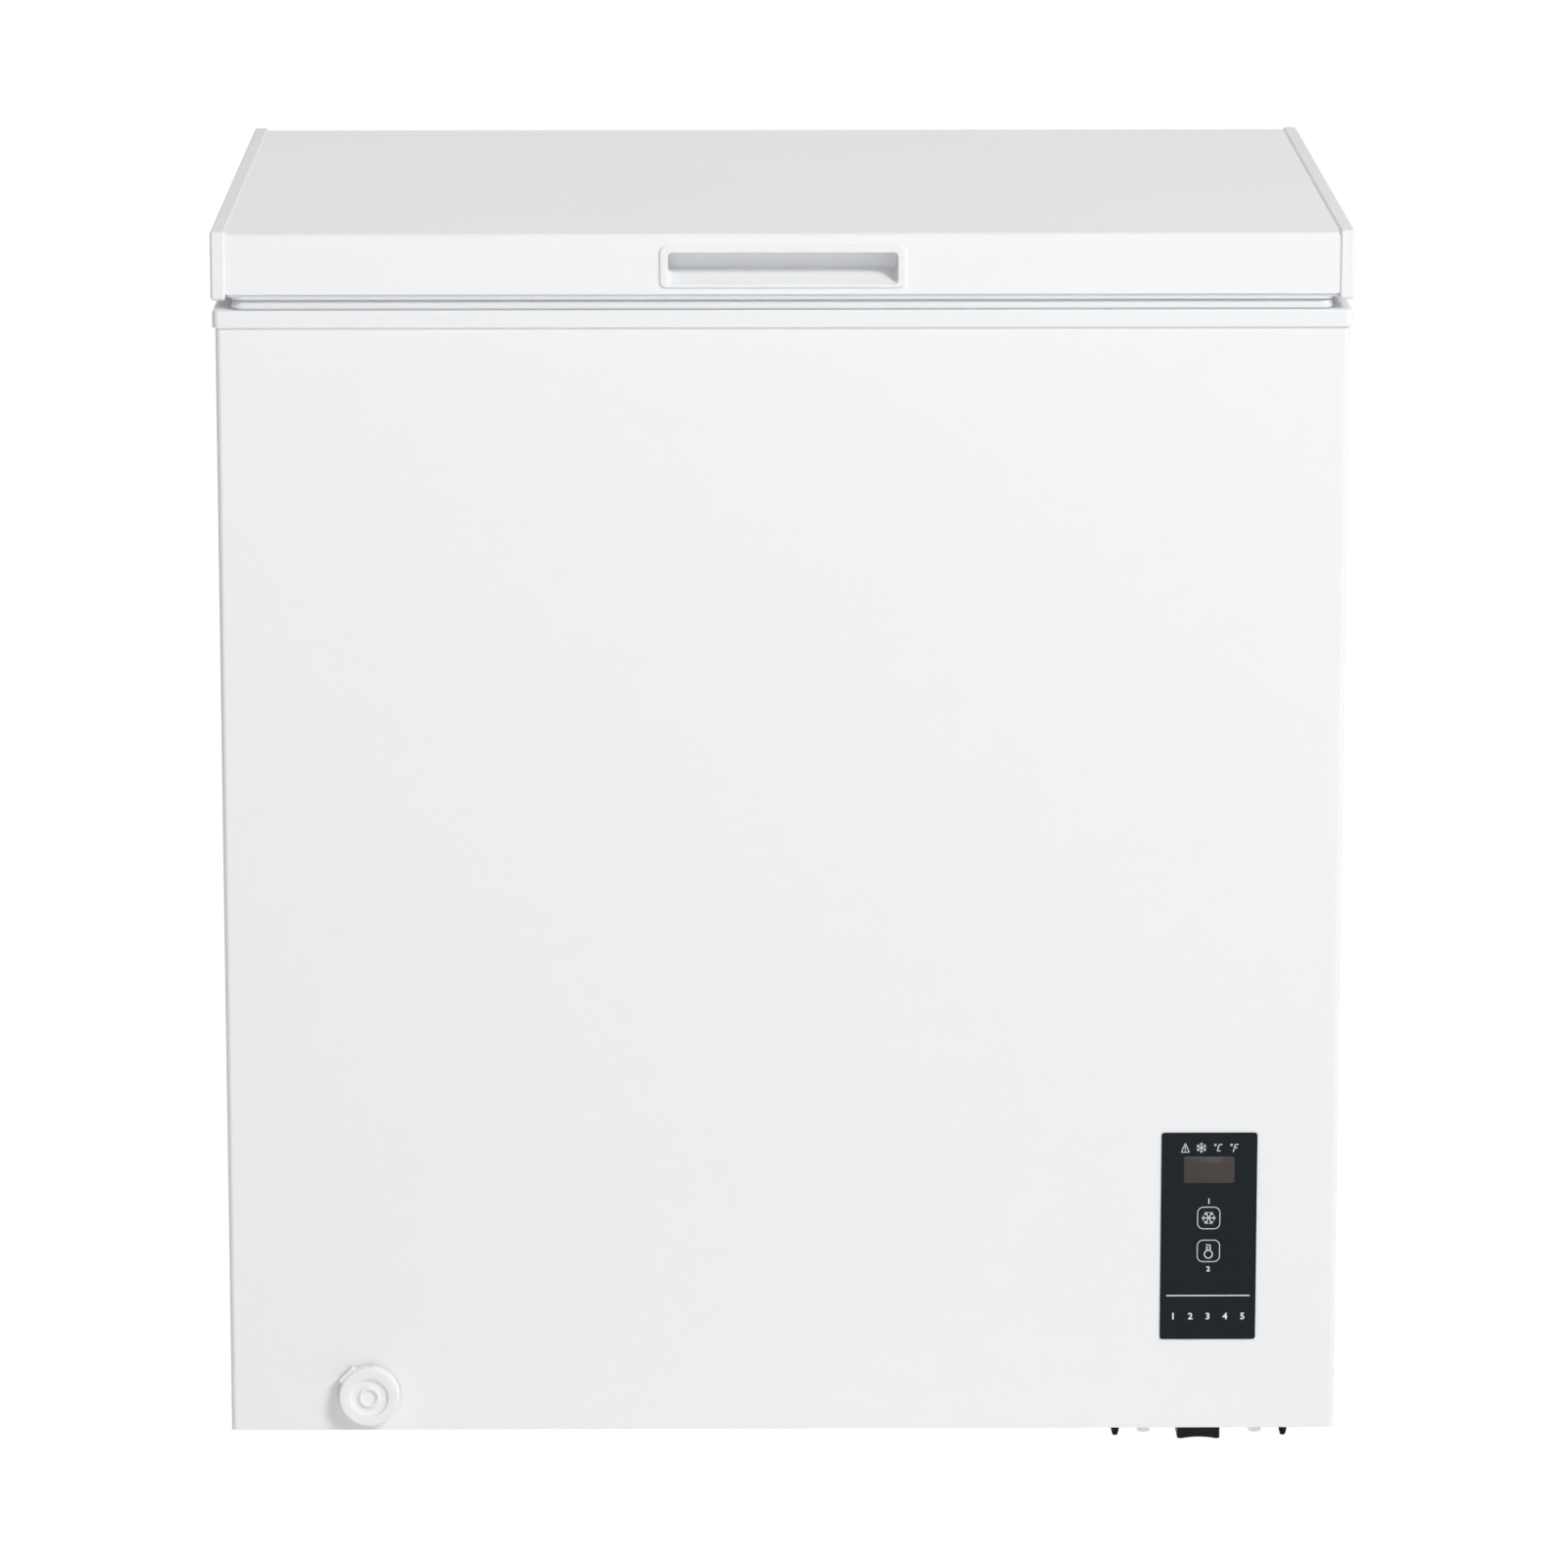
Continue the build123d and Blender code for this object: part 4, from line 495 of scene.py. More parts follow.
def baked(holder):
    """The evaluated mesh of an object, which is removed."""
    graph = bpy.context.evaluated_depsgraph_get()
    mesh = bpy.data.meshes.new_from_object(holder.evaluated_get(graph), depsgraph=graph)
    bpy.data.objects.remove(holder)
    return mesh


def modified(mesh, kind, **settings):
    """The plain mesh that a modifier makes of a mesh."""
    holder = linked("holder", mesh)
    modifier = holder.modifiers.new(kind, kind)
    for key, value in settings.items():
        setattr(modifier, key, value)
    return baked(holder)


def evened(mesh):
    """The mesh with its flat faces shaded flat."""
    return modified(mesh, "WEIGHTED_NORMAL", keep_sharp=True)


def combined(mesh, operation, other, crossing=False):
    """Two closed meshes added or cut. The second may cross itself."""
    tool = linked("tool", other)
    made = modified(mesh, "BOOLEAN", object=tool, operation=operation, solver="EXACT", use_self=crossing)
    bpy.data.objects.remove(tool)
    return made


def edged(mesh, width):
    """The mesh with its sharp edges rounded and its flat faces shaded flat."""
    if width:
        mesh = modified(mesh, "BEVEL", width=width, segments=2, limit_method="ANGLE",
                        angle_limit=math.radians(32), use_clamp_overlap=True)
    mesh.set_sharp_from_angle(angle=math.radians(50))
    return evened(mesh)


def coated(finish, *nodes):
    """Frame nodes that keep their mesh and get a finish."""
    for node in nodes:
        painted(frame["nodes"][node].data, finish)


def painted(mesh, finish):
    """Gives a mesh its finish."""
    mesh.materials.clear()
    mesh.materials.append(FINISH[finish].material)


def settle(name, mesh, finish, body, *nodes):
    """Puts a mesh on its body with its finish, in place of frame nodes."""
    painted(mesh, finish)
    mesh.name = name
    piece = linked(name, mesh)
    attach(piece, body)
    if nodes:
        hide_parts(*nodes)


def welded(node):
    """The merged solid skin of a frame node, as a bmesh."""
    shape = bmesh.new()
    shape.from_mesh(frame["nodes"][node].data)
    bmesh.ops.remove_doubles(shape, verts=shape.verts, dist=WELD)
    bmesh.ops.join_triangles(shape, faces=shape.faces, angle_face_threshold=0.01,
                             angle_shape_threshold=math.pi)
    return shape


def rolled(shape, radius, chosen):
    """Rounds the sharp edges whose both ends a test picks."""
    shape.normal_update()
    edges = [edge for edge in shape.edges
             if edge.calc_face_angle(0.0) > 0.6 and all(chosen(spot.co) for spot in edge.verts)]
    bmesh.ops.bevel(shape, geom=edges, offset=radius, offset_type="OFFSET", segments=4, profile=0.5,
                    affect="EDGES", clamp_overlap=True)
    return shape


def dressed(name, node, finish, edge=0.0, shape=None):
    """A frame node's own shape with rounded edges and smooth bends."""
    mesh = skinned(name, shape or welded(node), 180)
    settle(name, edged(mesh, edge), finish, NODE_BODY[node], node)


def dress(edges, *rows):
    """Dresses frame nodes: piece, node, finish and, where edges are rounded, the name of the rounding."""
    for name, node, finish, *edge in rows:
        dressed(name, node, finish, getattr(edges, edge[0]) if edge else 0.0)


def near(value, *places):
    """Whether a value lies at one of the places."""
    return any(abs(value - place) < 0.1 * MM for place in places)


def islands(node):
    """Lowest and highest corner of each separate solid of a frame node."""
    shape, boxes, seen = welded(node), [], set()
    for seed in shape.verts:
        if seed in seen:
            continue
        stack, group = [seed], []
        seen.add(seed)
        while stack:
            spot = stack.pop()
            group.append(spot.co.copy())
            for edge in spot.link_edges:
                other = edge.other_vert(spot)
                if other not in seen:
                    seen.add(other)
                    stack.append(other)
        boxes.append(tuple(Vector(pick(spot[axis] for spot in group) for axis in range(3))
                           for pick in (min, max)))
    shape.free()
    return boxes


class Grower:
    """A Geometry Nodes tree with named inputs that copies a model, run once on a mesh."""

    def __init__(self, name, model, **inputs):
        self.lender = linked("lender", model)
        self.tree = bpy.data.node_groups.new(name, "GeometryNodeTree")
        self.values = {}
        self.socket("Geometry", "NodeSocketGeometry")
        for label, (kind, value) in {"Model": ("NodeSocketObject", self.lender), **inputs}.items():
            self.values[self.socket(label.replace("_", " "), kind)] = value
        self.socket("Geometry", "NodeSocketGeometry", "OUTPUT")
        self.start = self.tree.nodes.new("NodeGroupInput")
        self.model = self.node("GeometryNodeObjectInfo", {"Object": self.given("Model")}, "Geometry")

    def socket(self, label, kind, way="INPUT"):
        """Adds a socket to the tree's face and gives its identifier."""
        return self.tree.interface.new_socket(label, in_out=way, socket_type=kind).identifier

    def given(self, label):
        """A named input's socket."""
        return self.start.outputs[label]

    def node(self, kind, inputs, output=0, **settings):
        """Any node, with its settings and its sockets' values or links."""
        made = self.tree.nodes.new(kind)
        for key, value in settings.items():
            setattr(made, key, value)
        for key, value in inputs.items():
            if isinstance(value, bpy.types.NodeSocket):
                self.tree.links.new(value, made.inputs[key])
            else:
                made.inputs[key].default_value = value
        return made.outputs[output]

    def run(self, mesh, finish, **placing):
        """Copies of the model on points, realised with a finish, as a plain mesh."""
        copies = self.node("GeometryNodeInstanceOnPoints", {"Instance": self.model, **placing})
        whole = self.node("GeometryNodeRealizeInstances", {"Geometry": copies})
        coat = self.node("GeometryNodeSetMaterial", {"Geometry": whole, "Material": FINISH[finish].material})
        end = self.tree.nodes.new("NodeGroupOutput")
        self.tree.links.new(coat, end.inputs[0])
        holder = linked("holder", mesh)
        modifier = holder.modifiers.new("Grow", "NODES")
        modifier.node_group = self.tree
        for key, value in self.values.items():
            modifier[key] = value
        made = baked(holder)
        bpy.data.objects.remove(self.lender)
        return made


def scattered(spots, fastener, axis, seed, finish):
    """Copies of a fastener at spots, each turned by chance about its axis."""
    grower = Grower("Fasteners", fastener, Axis=("NodeSocketVector", axis),
                    Most_Turn=("NodeSocketFloat", math.pi), Seed=("NodeSocketInt", seed))
    chance = {2: 0.0, 3: grower.given("Most Turn"), "Seed": grower.given("Seed")}
    turn = grower.node("FunctionNodeRandomValue", chance, 1, data_type="FLOAT")
    spin = grower.node("FunctionNodeAxisAngleToRotation", {"Axis": grower.given("Axis"), "Angle": turn})
    points = grower.node("GeometryNodeMeshToPoints", {"Mesh": grower.given("Geometry")})
    mesh = bpy.data.meshes.new("spots")
    mesh.from_pydata(spots, [], [])
    return grower.run(mesh, finish, Points=points, Rotation=spin)


def repeated(mesh, count, step, finish):
    """A row of copies of a mesh."""
    grower = Grower("Row", mesh, Count=("NodeSocketInt", count), Step=("NodeSocketVector", step))
    spacing = {"Count": grower.given("Count"), "Offset": grower.given("Step")}
    row = grower.node("GeometryNodeMeshLine", spacing)
    return grower.run(bpy.data.meshes.new("row"), finish, Points=row)


def joined(name, *meshes):
    """Several meshes as one."""
    shape = bmesh.new()
    for mesh in meshes:
        shape.from_mesh(mesh)
    for face in shape.faces:
        face.material_index = 0
    whole = bpy.data.meshes.new(name)
    shape.to_mesh(whole)
    shape.free()
    return whole


# ---- pieces ----
class FREEZER_OT_steelwork(bpy.types.Operator):
    """Cabinet wrap, rear panel, base and compressor bay sheets"""
    bl_idname, bl_label = "freezer.steelwork", "Steelwork"

    def execute(self, context):
        edges = context.scene.freezer_edges
        floor, front, side = low("cabinet_wrap", "z"), low("cabinet_wrap", "y"), high("cabinet_wrap", "x")
        wrap = rolled(welded("cabinet_wrap"), edges.roll,
                      lambda spot: near(spot.z, floor) and min(side - abs(spot.x), spot.y - front) < 3 * MM)
        dressed("cabinet_steel", "cabinet_wrap", "enamel", edges.sheet, wrap)
        dress(edges, ("rear_steel", "rear_panel", "enamel", "sheet"),
              ("base_sheet", "bottom_panel", "galvanised"), ("bay_sheet", "bay_partition", "galvanised"))
        coated("foam", "insulation")
        return {"FINISHED"}


class FREEZER_OT_well(bpy.types.Operator):
    """Plastic collar round the opening, embossed liner and probe"""
    bl_idname, bl_label = "freezer.well", "Storage well"

    def execute(self, context):
        dress(context.scene.freezer_edges, ("well_collar", "top_collar", "moulding", "moulding"),
              ("well_liner", "inner_liner", "liner", "sheet"))
        coated("copper", "temperature_probe", "condenser_tube")
        coated("tube", "evaporator_tube")
        return {"FINISHED"}


class FREEZER_OT_lid(bpy.types.Operator):
    """Lid steel, end caps, inner panel and foam"""
    bl_idname, bl_label = "freezer.lid", "Lid"
    CAP_CORNER = 2.4 * MM

    def cap(self, name, node, edges):
        """A moulded end cap, a little proud of the steel, with softly rounded edges."""
        inner, outer = sorted(span(node, "x"), key=abs)
        way = math.copysign(1.0, outer)
        y, z = (low(node, "y") - edges.proud, high(node, "y") + edges.proud), span(node, "z")
        steps = [(edges.cap, inner), (0.0, inner + way * edges.cap)]
        steps += [(edges.end * rise, outer - way * edges.end * fall) for rise, fall in rounding(5)]
        rings = [[(x, u, v) for u, v in inset_loop(y, z, inset, self.CAP_CORNER)] for inset, x in steps]
        settle(name, evened(through(name, rings, sharp=40)), "moulding", NODE_BODY[node], node)

    def execute(self, context):
        edges = context.scene.freezer_edges
        base, ends = low("lid_skin", "z"), span("lid_skin", "y")
        steel = rolled(welded("lid_skin"), edges.hem, lambda spot: near(spot.z, base) and near(spot.y, *ends))
        dressed("lid_steel", "lid_skin", "enamel", edges.sheet, steel)
        for side in ("left", "right"):
            self.cap(f"lid_cap_{side}", f"lid_end_cap_{side}", edges)
        dressed("lid_lining", "lid_inner_panel", "inner_sheet", edges.moulding)
        coated("foam", "lid_foam")
        return {"FINISHED"}


class FREEZER_OT_seal(bpy.types.Operator):
    """Bellows gasket with its barb, front bead and wiping lip"""
    bl_idname, bl_label = "freezer.seal", "Gasket"
    # millimetres in from the outer edge, and up from the foot
    INNER = ((14.4, 0.0), (15.0, 0.3), (15.0, 3.9), (14.4, 4.35), (11.8, 4.95), (11.8, 6.15))
    LIP = ((1.4, 5.6), (0.8, 4.4), (0.2, 2.2), (0.0, 0.9), (0.4, 0.3), (1.0, 0.0))
    # millimetres in from the outer edge, and walls under the top or parts of the barb's height over it
    SHOULDER = ((15.2, 2), (16.0, 1), (15.8, 0))
    BARB = ((9.5, 0), (9.5, 0.3), (10.0, 0.6), (9.0, 1), (8.0, 1), (7.0, 0.6), (7.5, 0.3), (7.5, 0))
    # millimetres in from the outer edge, down from the top, and back from the bead's reach
    BEAD = ((1.4, 0, 0), (0.4, 0.1, 0), (0, 0.6, 0), (0.1, 1.5, 0), (0.5, 2.0, 0), (1.8, 2.2, 0.8))
    CORNER = 9 * MM

    def execute(self, context):
        seal = context.scene.freezer_seal
        x, y = span("lid_gasket", "x"), span("lid_gasket", "y")
        base, top = low("lid_gasket", "z"), low("lid_skin", "z") - 2 * MM
        barb = high("lid_gasket", "z") - top
        section = [(u * MM, base + v * MM, 0.0) for u, v in self.INNER]
        section += [(u * MM, top - walls * seal.wall, 0.0) for u, walls in self.SHOULDER]
        section += [(u * MM, top + barb * part, 0.0) for u, part in self.BARB]
        section += [(u * MM, top - v * MM, seal.bead - back * MM) for u, v, back in self.BEAD]
        section += [(2.6 * MM, top - 2.7 * MM, seal.lip)]
        section += [(u * MM, base + v * MM, seal.lip) for u, v in self.LIP]
        section += [(7 * MM, base + 0.2 * MM, seal.lip - 2 * MM)]
        rings = []
        for inset, z, out in section:
            loop = round_loop((x[0] + inset, x[1] - inset), (y[0] + inset - out, y[1] - inset),
                              self.CORNER - inset / 8)
            rings.append([(u, v, z) for u, v in loop])
        settle("lid_seal", through("lid_seal", rings, True), "seal", "lid", "lid_gasket")
        coated("magnet", "gasket_magnets")
        return {"FINISHED"}


class FREEZER_OT_handle(bpy.types.Operator):
    """Recessed finger handle in the lid's front"""
    bl_idname, bl_label = "freezer.handle", "Handle"
    # roundings of the frame's outer edge, of the opening and of the finger space's far corners
    OUTER, MOUTH, FAR = 1.3 * MM, 1.05 * MM, 1.6 * MM
    LIP_STEPS = (0.12, 0.25, 0.4, 0.55, 0.7, 0.83)

    def execute(self, context):
        pull = context.scene.freezer_handle
        node, face = "handle_insert", low("lid_skin", "y")
        x, z, (front, back) = span(node, "x"), span(node, "z"), span(node, "y")
        deep = back - pull.wall

        def ring(side, under, over, radius, y):
            """Rounded outline at a depth, inset from the frame's edge at the sides, below and above."""
            loop = round_loop((x[0] + side, x[1] - side), (z[0] + under, z[1] - over), radius)
            return [(u, y, v) for u, v in loop]

        def inner(grow, y):
            """Outline of the finger space, grown outwards."""
            rise = pull.rise * math.sin(math.pi / 2 * max(0.0, (y - front) / (deep - front)))
            return ring(pull.side - grow, pull.under - grow + rise, pull.over - grow, pull.corner + grow, y)

        rings = [inner(pull.wall, back), inner(pull.wall, face), ring(0, 0, 0, pull.frame_corner, face)]
        for rise, fall in rounding(4):
            inset = self.OUTER * rise
            rings.append(ring(inset, inset, inset, pull.frame_corner - inset, front + self.OUTER * fall))
        rings += [inner(self.MOUTH * fall, front + self.MOUTH * rise) for rise, fall in rounding(4)]
        rings += [inner(0, front + (deep - front) * part) for part in self.LIP_STEPS]
        rings += [inner(-self.FAR * rise, deep - self.FAR * fall) for rise, fall in rounding(4)]
        settle("lid_handle", evened(through("lid_handle", rings, sharp=60)), "moulding", "lid", node)
        return {"FINISHED"}


class FREEZER_OT_panel(bpy.types.Operator):
    """Control panel: fascia, window, keys, printed marks and what is behind them"""
    bl_idname, bl_label = "freezer.panel", "Control panel"
    # millimetres down from the panel's top, and across from its left edge
    SIGNS, RULE, NUMBERS = 10.6, 116.2, 131.2
    WARNING, CRYSTAL, CELSIUS, FAHRENHEIT = 16.3, 27.4, 38.7, 49.8
    MARGIN, FIRST_NUMBER, NUMBER_STEP = 4.6, 9.0, 12.0
    # strokes of the slanted letters, in millimetres from their middle
    LETTER_C = (((2.3, 2.3), (0.5, 2.3), (0.1, -2.3), (1.9, -2.3)),)
    LETTER_F = (((2.4, 2.3), (0.5, 2.3), (0.1, -2.7)), ((0.4, 0.0), (2.0, 0.0)))
    SLANT = 0.17
    KEY_FRAME, KEY_CORNER = 7.95 * MM, 4.3 * MM
    KEY_NUMBER, ROW_NUMBER = 5.0 * MM, 6.4 * MM
    # thermometer: bulb's radius and place under the key's middle, half the stem's width, ends over the bulb
    BULB, BULB_DROP, STEM, STEM_FOOT, STEM_TOP, STEM_SIDE = 3.1, 2.4, 1.35, 2.6, 6.7, 5.2
    TICKS = (5.2, 4.0)

    def stroke(self, shape, places, wide):
        """A printed line through (x, z) places."""
        for start, end in zip(places, places[1:]):
            start, end = Vector(start), Vector(end)
            run = (end - start).normalized() * wide / 2
            side = Vector((-run.y, run.x))
            ends = [start - run - side, end + run - side, end + run + side, start - run + side]
            prism(shape, [(p.x, p.y) for p in ends], self.face, self.film)

    def band(self, shape, outer, inner):
        """A closed printed band between two outlines."""
        rings = [[self.face @ Vector((u, v, height)) for u, v in loop]
                 for loop, height in ((outer, 0), (outer, self.film), (inner, self.film), (inner, 0))]
        stitched(shape, rings, True)

    def ring(self, shape, cx, cz, radius, wide):
        """A printed ring."""
        self.band(shape, *(circle(32, r, (cx, cz)) for r in (radius, radius - wide)))

    def crystal(self, shape, cx, cz, reach, wide, start, fork):
        """Six-armed snow crystal with forked arms."""
        centre = Vector((cx, cz))
        for arm in range(6):
            turn = start + math.pi * arm / 3
            way = Vector((math.cos(turn), math.sin(turn)))
            root = centre + way * reach * fork
            self.stroke(shape, [(cx, cz), centre + way * reach], wide)
            for lean in (-0.9, 0.9):
                side = Vector((math.cos(turn + lean), math.sin(turn + lean))) * reach * (1 - fork)
                self.stroke(shape, [root, root + side], wide * 0.85)

    def slanted(self, shape, cx, cz, strokes, wide):
        """Unit letter drawn in leaning straight strokes, with its degree ring."""
        for places in strokes:
            self.stroke(shape, [(cx + (u + self.SLANT * v) * MM, cz + v * MM) for u, v in places], wide)
        self.ring(shape, cx - 1.7 * MM, cz + 2.0 * MM, 0.85 * MM, 0.4 * MM)

    def number(self, shape, text, cx, cz, size):
        """Plain number as a thin printed film."""
        curve = bpy.data.curves.new("number", "FONT")
        curve.body, curve.size, curve.extrude, curve.offset = text, size, self.film / 2, 0.03 * size
        curve.align_x, curve.align_y, curve.resolution_u = "CENTER", "CENTER", 3
        mesh = baked(linked("number", curve))
        mesh.transform(self.face @ Matrix.Translation((cx, cz, self.film / 2)))
        shape.from_mesh(mesh)

    def window(self, marks, edge):
        """Display window: an upright slab with round corners and a softened front."""
        x, z, (front, back) = (span("display_lens", axis) for axis in "xzy")
        steps = ((0, back), (0, front + edge), (edge * 0.3, front + edge * 0.3), (edge, front))
        rings = [[(u, y, v) for u, v in inset_loop(x, z, inset, marks.corner)] for inset, y in steps]
        settle("panel_window", through("panel_window", rings), "lens", "cabinet", "display_lens")

    def window_corners(self, spread, front):
        """Fillets that round the display window's corners."""
        x, z, behind = span("display_lens", "x"), span("display_lens", "z"), high("display_lens", "y")
        back = self.face @ Matrix.Translation((0, 0, front - behind))
        shape = bmesh.new()
        for edge_x, sx in zip(x, (1, -1)):
            for edge_z, sz in zip(z, (1, -1)):
                curve = [(edge_x + sx * spread * rise, edge_z + sz * spread * fall)
                         for rise, fall in rounding(6)]
                prism(shape, [(edge_x, edge_z), *curve], back, behind - front)
        settle("window_corners", skinned("window_corners", shape), "fascia", "cabinet")

    def fixed_marks(self, marks):
        """Signs over the window, rule and numbers."""
        top, left, right = high("control_fascia", "z"), *span("control_fascia", "x")
        line, tall, wide = marks.line, marks.icon / 2, 2.75 * MM
        row, cx = top - self.SIGNS * MM, left + self.WARNING * MM
        shape = bmesh.new()
        peak = (cx, row + tall)
        self.stroke(shape, [peak, (cx - wide, row - tall), (cx + wide, row - tall), peak], line)
        self.stroke(shape, [(cx, row + tall * 0.3), (cx, row - tall * 0.35)], line)
        self.stroke(shape, [(cx, row - tall * 0.6), (cx, row - tall * 0.65)], line)
        self.crystal(shape, left + self.CRYSTAL * MM, row, 3.2 * MM, line * 1.25, math.pi / 2, 0.68)
        self.slanted(shape, left + self.CELSIUS * MM, row, self.LETTER_C, line * 1.3)
        self.slanted(shape, left + self.FAHRENHEIT * MM, row, self.LETTER_F, line * 1.3)
        rule, margin = top - self.RULE * MM, self.MARGIN * MM
        self.stroke(shape, [(left + margin, rule), (right - margin, rule)], marks.bold)
        key_x = middle("key_upper", "x")
        self.number(shape, "1", key_x, high("key_upper", "z") + 1.8 * MM, self.KEY_NUMBER)
        self.number(shape, "2", key_x, low("key_lower", "z") - 3.0 * MM, self.KEY_NUMBER)
        for index in range(5):
            across = (self.FIRST_NUMBER + self.NUMBER_STEP * index) * MM
            self.number(shape, str(index + 1), left + across, top - self.NUMBERS * MM, self.ROW_NUMBER)
        settle("panel_marks", skinned("panel_marks", shape), "marks", "cabinet")

    def thermometer(self, shape, cx, cz, line):
        """Bulb, open stem and ticks."""
        bulb, stem = cz - self.BULB_DROP * MM, self.STEM * MM
        foot, top, side = (bulb + rise * MM for rise in (self.STEM_FOOT, self.STEM_TOP, self.STEM_SIDE))
        self.ring(shape, cx, bulb, self.BULB * MM, line * 1.4)
        self.stroke(shape, [(cx + stem, foot), (cx + stem, top), (cx - stem, top)], line * 1.3)
        self.stroke(shape, [(cx - stem, foot), (cx - stem, side)], line * 1.3)
        for rise in self.TICKS:
            self.stroke(shape, [(cx - stem, bulb + rise * MM), (cx - 0.1 * MM, bulb + rise * MM)], line)

    def execute(self, context):
        marks, edges = context.scene.freezer_marks, context.scene.freezer_edges
        dressed("panel_fascia", "control_fascia", "fascia", edges.small)
        self.window(marks, edges.small)
        for key in ("key_upper", "key_lower"):
            dressed(f"panel_{key}", key, "fascia", edges.small)
        coated("black", "display_module", "key_switches")
        coated("board", "control_board")
        coated("inner_sheet", "control_housing")
        self.film, front = marks.film, low("control_fascia", "y")
        # u runs along X, v along Z and the film grows out of the panel
        self.face = Matrix(((1, 0, 0, 0), (0, 0, -1, front), (0, 1, 0, 0), (0, 0, 0, 1)))
        self.window_corners(marks.corner, front)
        self.fixed_marks(marks)
        for key, body in (("key_upper", "upper_key"), ("key_lower", "lower_key")):
            shape = bmesh.new()
            cx, cz = middle(key, "x"), middle(key, "z")
            x, z = ((place - self.KEY_FRAME, place + self.KEY_FRAME) for place in (cx, cz))
            self.band(shape, *(inset_loop(x, z, inset, self.KEY_CORNER) for inset in (0, marks.line)))
            if body == "upper_key":
                self.crystal(shape, cx, cz, 4.5 * MM, marks.line * 1.3, 0.0, 0.62)
            else:
                self.thermometer(shape, cx, cz, marks.line)
            settle(f"{key}_marks", skinned(f"{key}_marks", shape), "marks", body)
        return {"FINISHED"}


class FREEZER_OT_drain(bpy.types.Operator):
    """Drain: knob, sliding spout, sleeve, flange and stopper"""
    bl_idname, bl_label = "freezer.drain", "Drain"
    # steps of the face: millimetres out from the rim or the boss, millimetres up, and from which level
    RIM = ((0.35, 0, "top"), (0.1, -0.1, "top"), (0, -0.35, "top"), (-0.15, 0.25, "dish"), (-0.55, 0, "dish"))
    BOSS = ((1.9, 0, "dish"), (1.3, 0.15, "dish"), (0.9, -0.25, "crest"), (0.3, 0, "crest"),
            (-0.3, 0, "crest"), (-0.9, -0.25, "crest"), (-1.3, 0.1, "dish"), (-1.8, 0, "dish"))
    PLAY, CHAMFER, OUTLET = 0.08 * MM, 0.5 * MM, 2 * MM

    def dial(self, knob, node):
        """Dished knob with a grip at its edge and the spout's outlet through it."""
        radius, seat = half(node, "x"), half("drain_spout", "x") + self.PLAY
        front, back = span(node, "y")
        centre = (middle(node, "x"), back, middle(node, "z"))
        place = Matrix.Translation(centre) @ Matrix.Rotation(math.pi / 2, 4, "X")
        thick, sunk = back - front, back - low("drain_spout", "y") + 0.3 * MM
        levels = {"top": thick, "dish": thick - knob.dish, "crest": thick - 0.1 * MM}
        profile = [(0, sunk), (seat, sunk), (seat, 0), (radius - self.CHAMFER, 0), (radius, self.CHAMFER)]
        profile += [(radius - knob.edge * rise, thick - knob.edge * fall) for rise, fall in rounding(6)]
        for edge, steps in ((knob.rim, self.RIM), (knob.boss, self.BOSS)):
            profile += [(edge + out * MM, levels[level] + up * MM) for out, up, level in steps]
        shape = bmesh.new()
        turned(shape, [*profile, (0, levels["dish"])], place, 96)
        made = skinned("knob", shape, 50)
        shape, wide = bmesh.new(), knob.tab / 2
        outline = round_loop((-wide, wide), (seat - self.PLAY + 2 * MM, radius + 2.0 * MM), 1.2 * MM, 4)
        prism(shape, outline, place @ Matrix.Rotation(math.radians(45), 4, "Z"), thick - 2.5 * MM)
        made = combined(made, "UNION", skinned("tab", shape, 50))
        shape = bmesh.new()
        way = Matrix.Translation((centre[0], low("drain_spout", "y") + 4 * MM, centre[2]))
        turned(shape, [(0, 0), (self.OUTLET, 0), (self.OUTLET, 2 * radius), (0, 2 * radius)], way, 24)
        made = combined(made, "DIFFERENCE", skinned("outlet", shape, 50))
        made.set_sharp_from_angle(angle=math.radians(38))
        return made

    def execute(self, context):
        dress(context.scene.freezer_edges, ("drain_tube", "drain_spout", "moulding", "small"),
              ("drain_guide", "drain_sleeve", "moulding", "small"),
              ("drain_rim", "drain_flange", "moulding", "small"),
              ("drain_stopper", "drain_plug", "moulding", "small"))
        node = "drain_dial"
        settle("drain_knob", self.dial(context.scene.freezer_knob, node), "moulding", NODE_BODY[node], node)
        dressed("drain_ring", "drain_seal", "rubber")
        return {"FINISHED"}


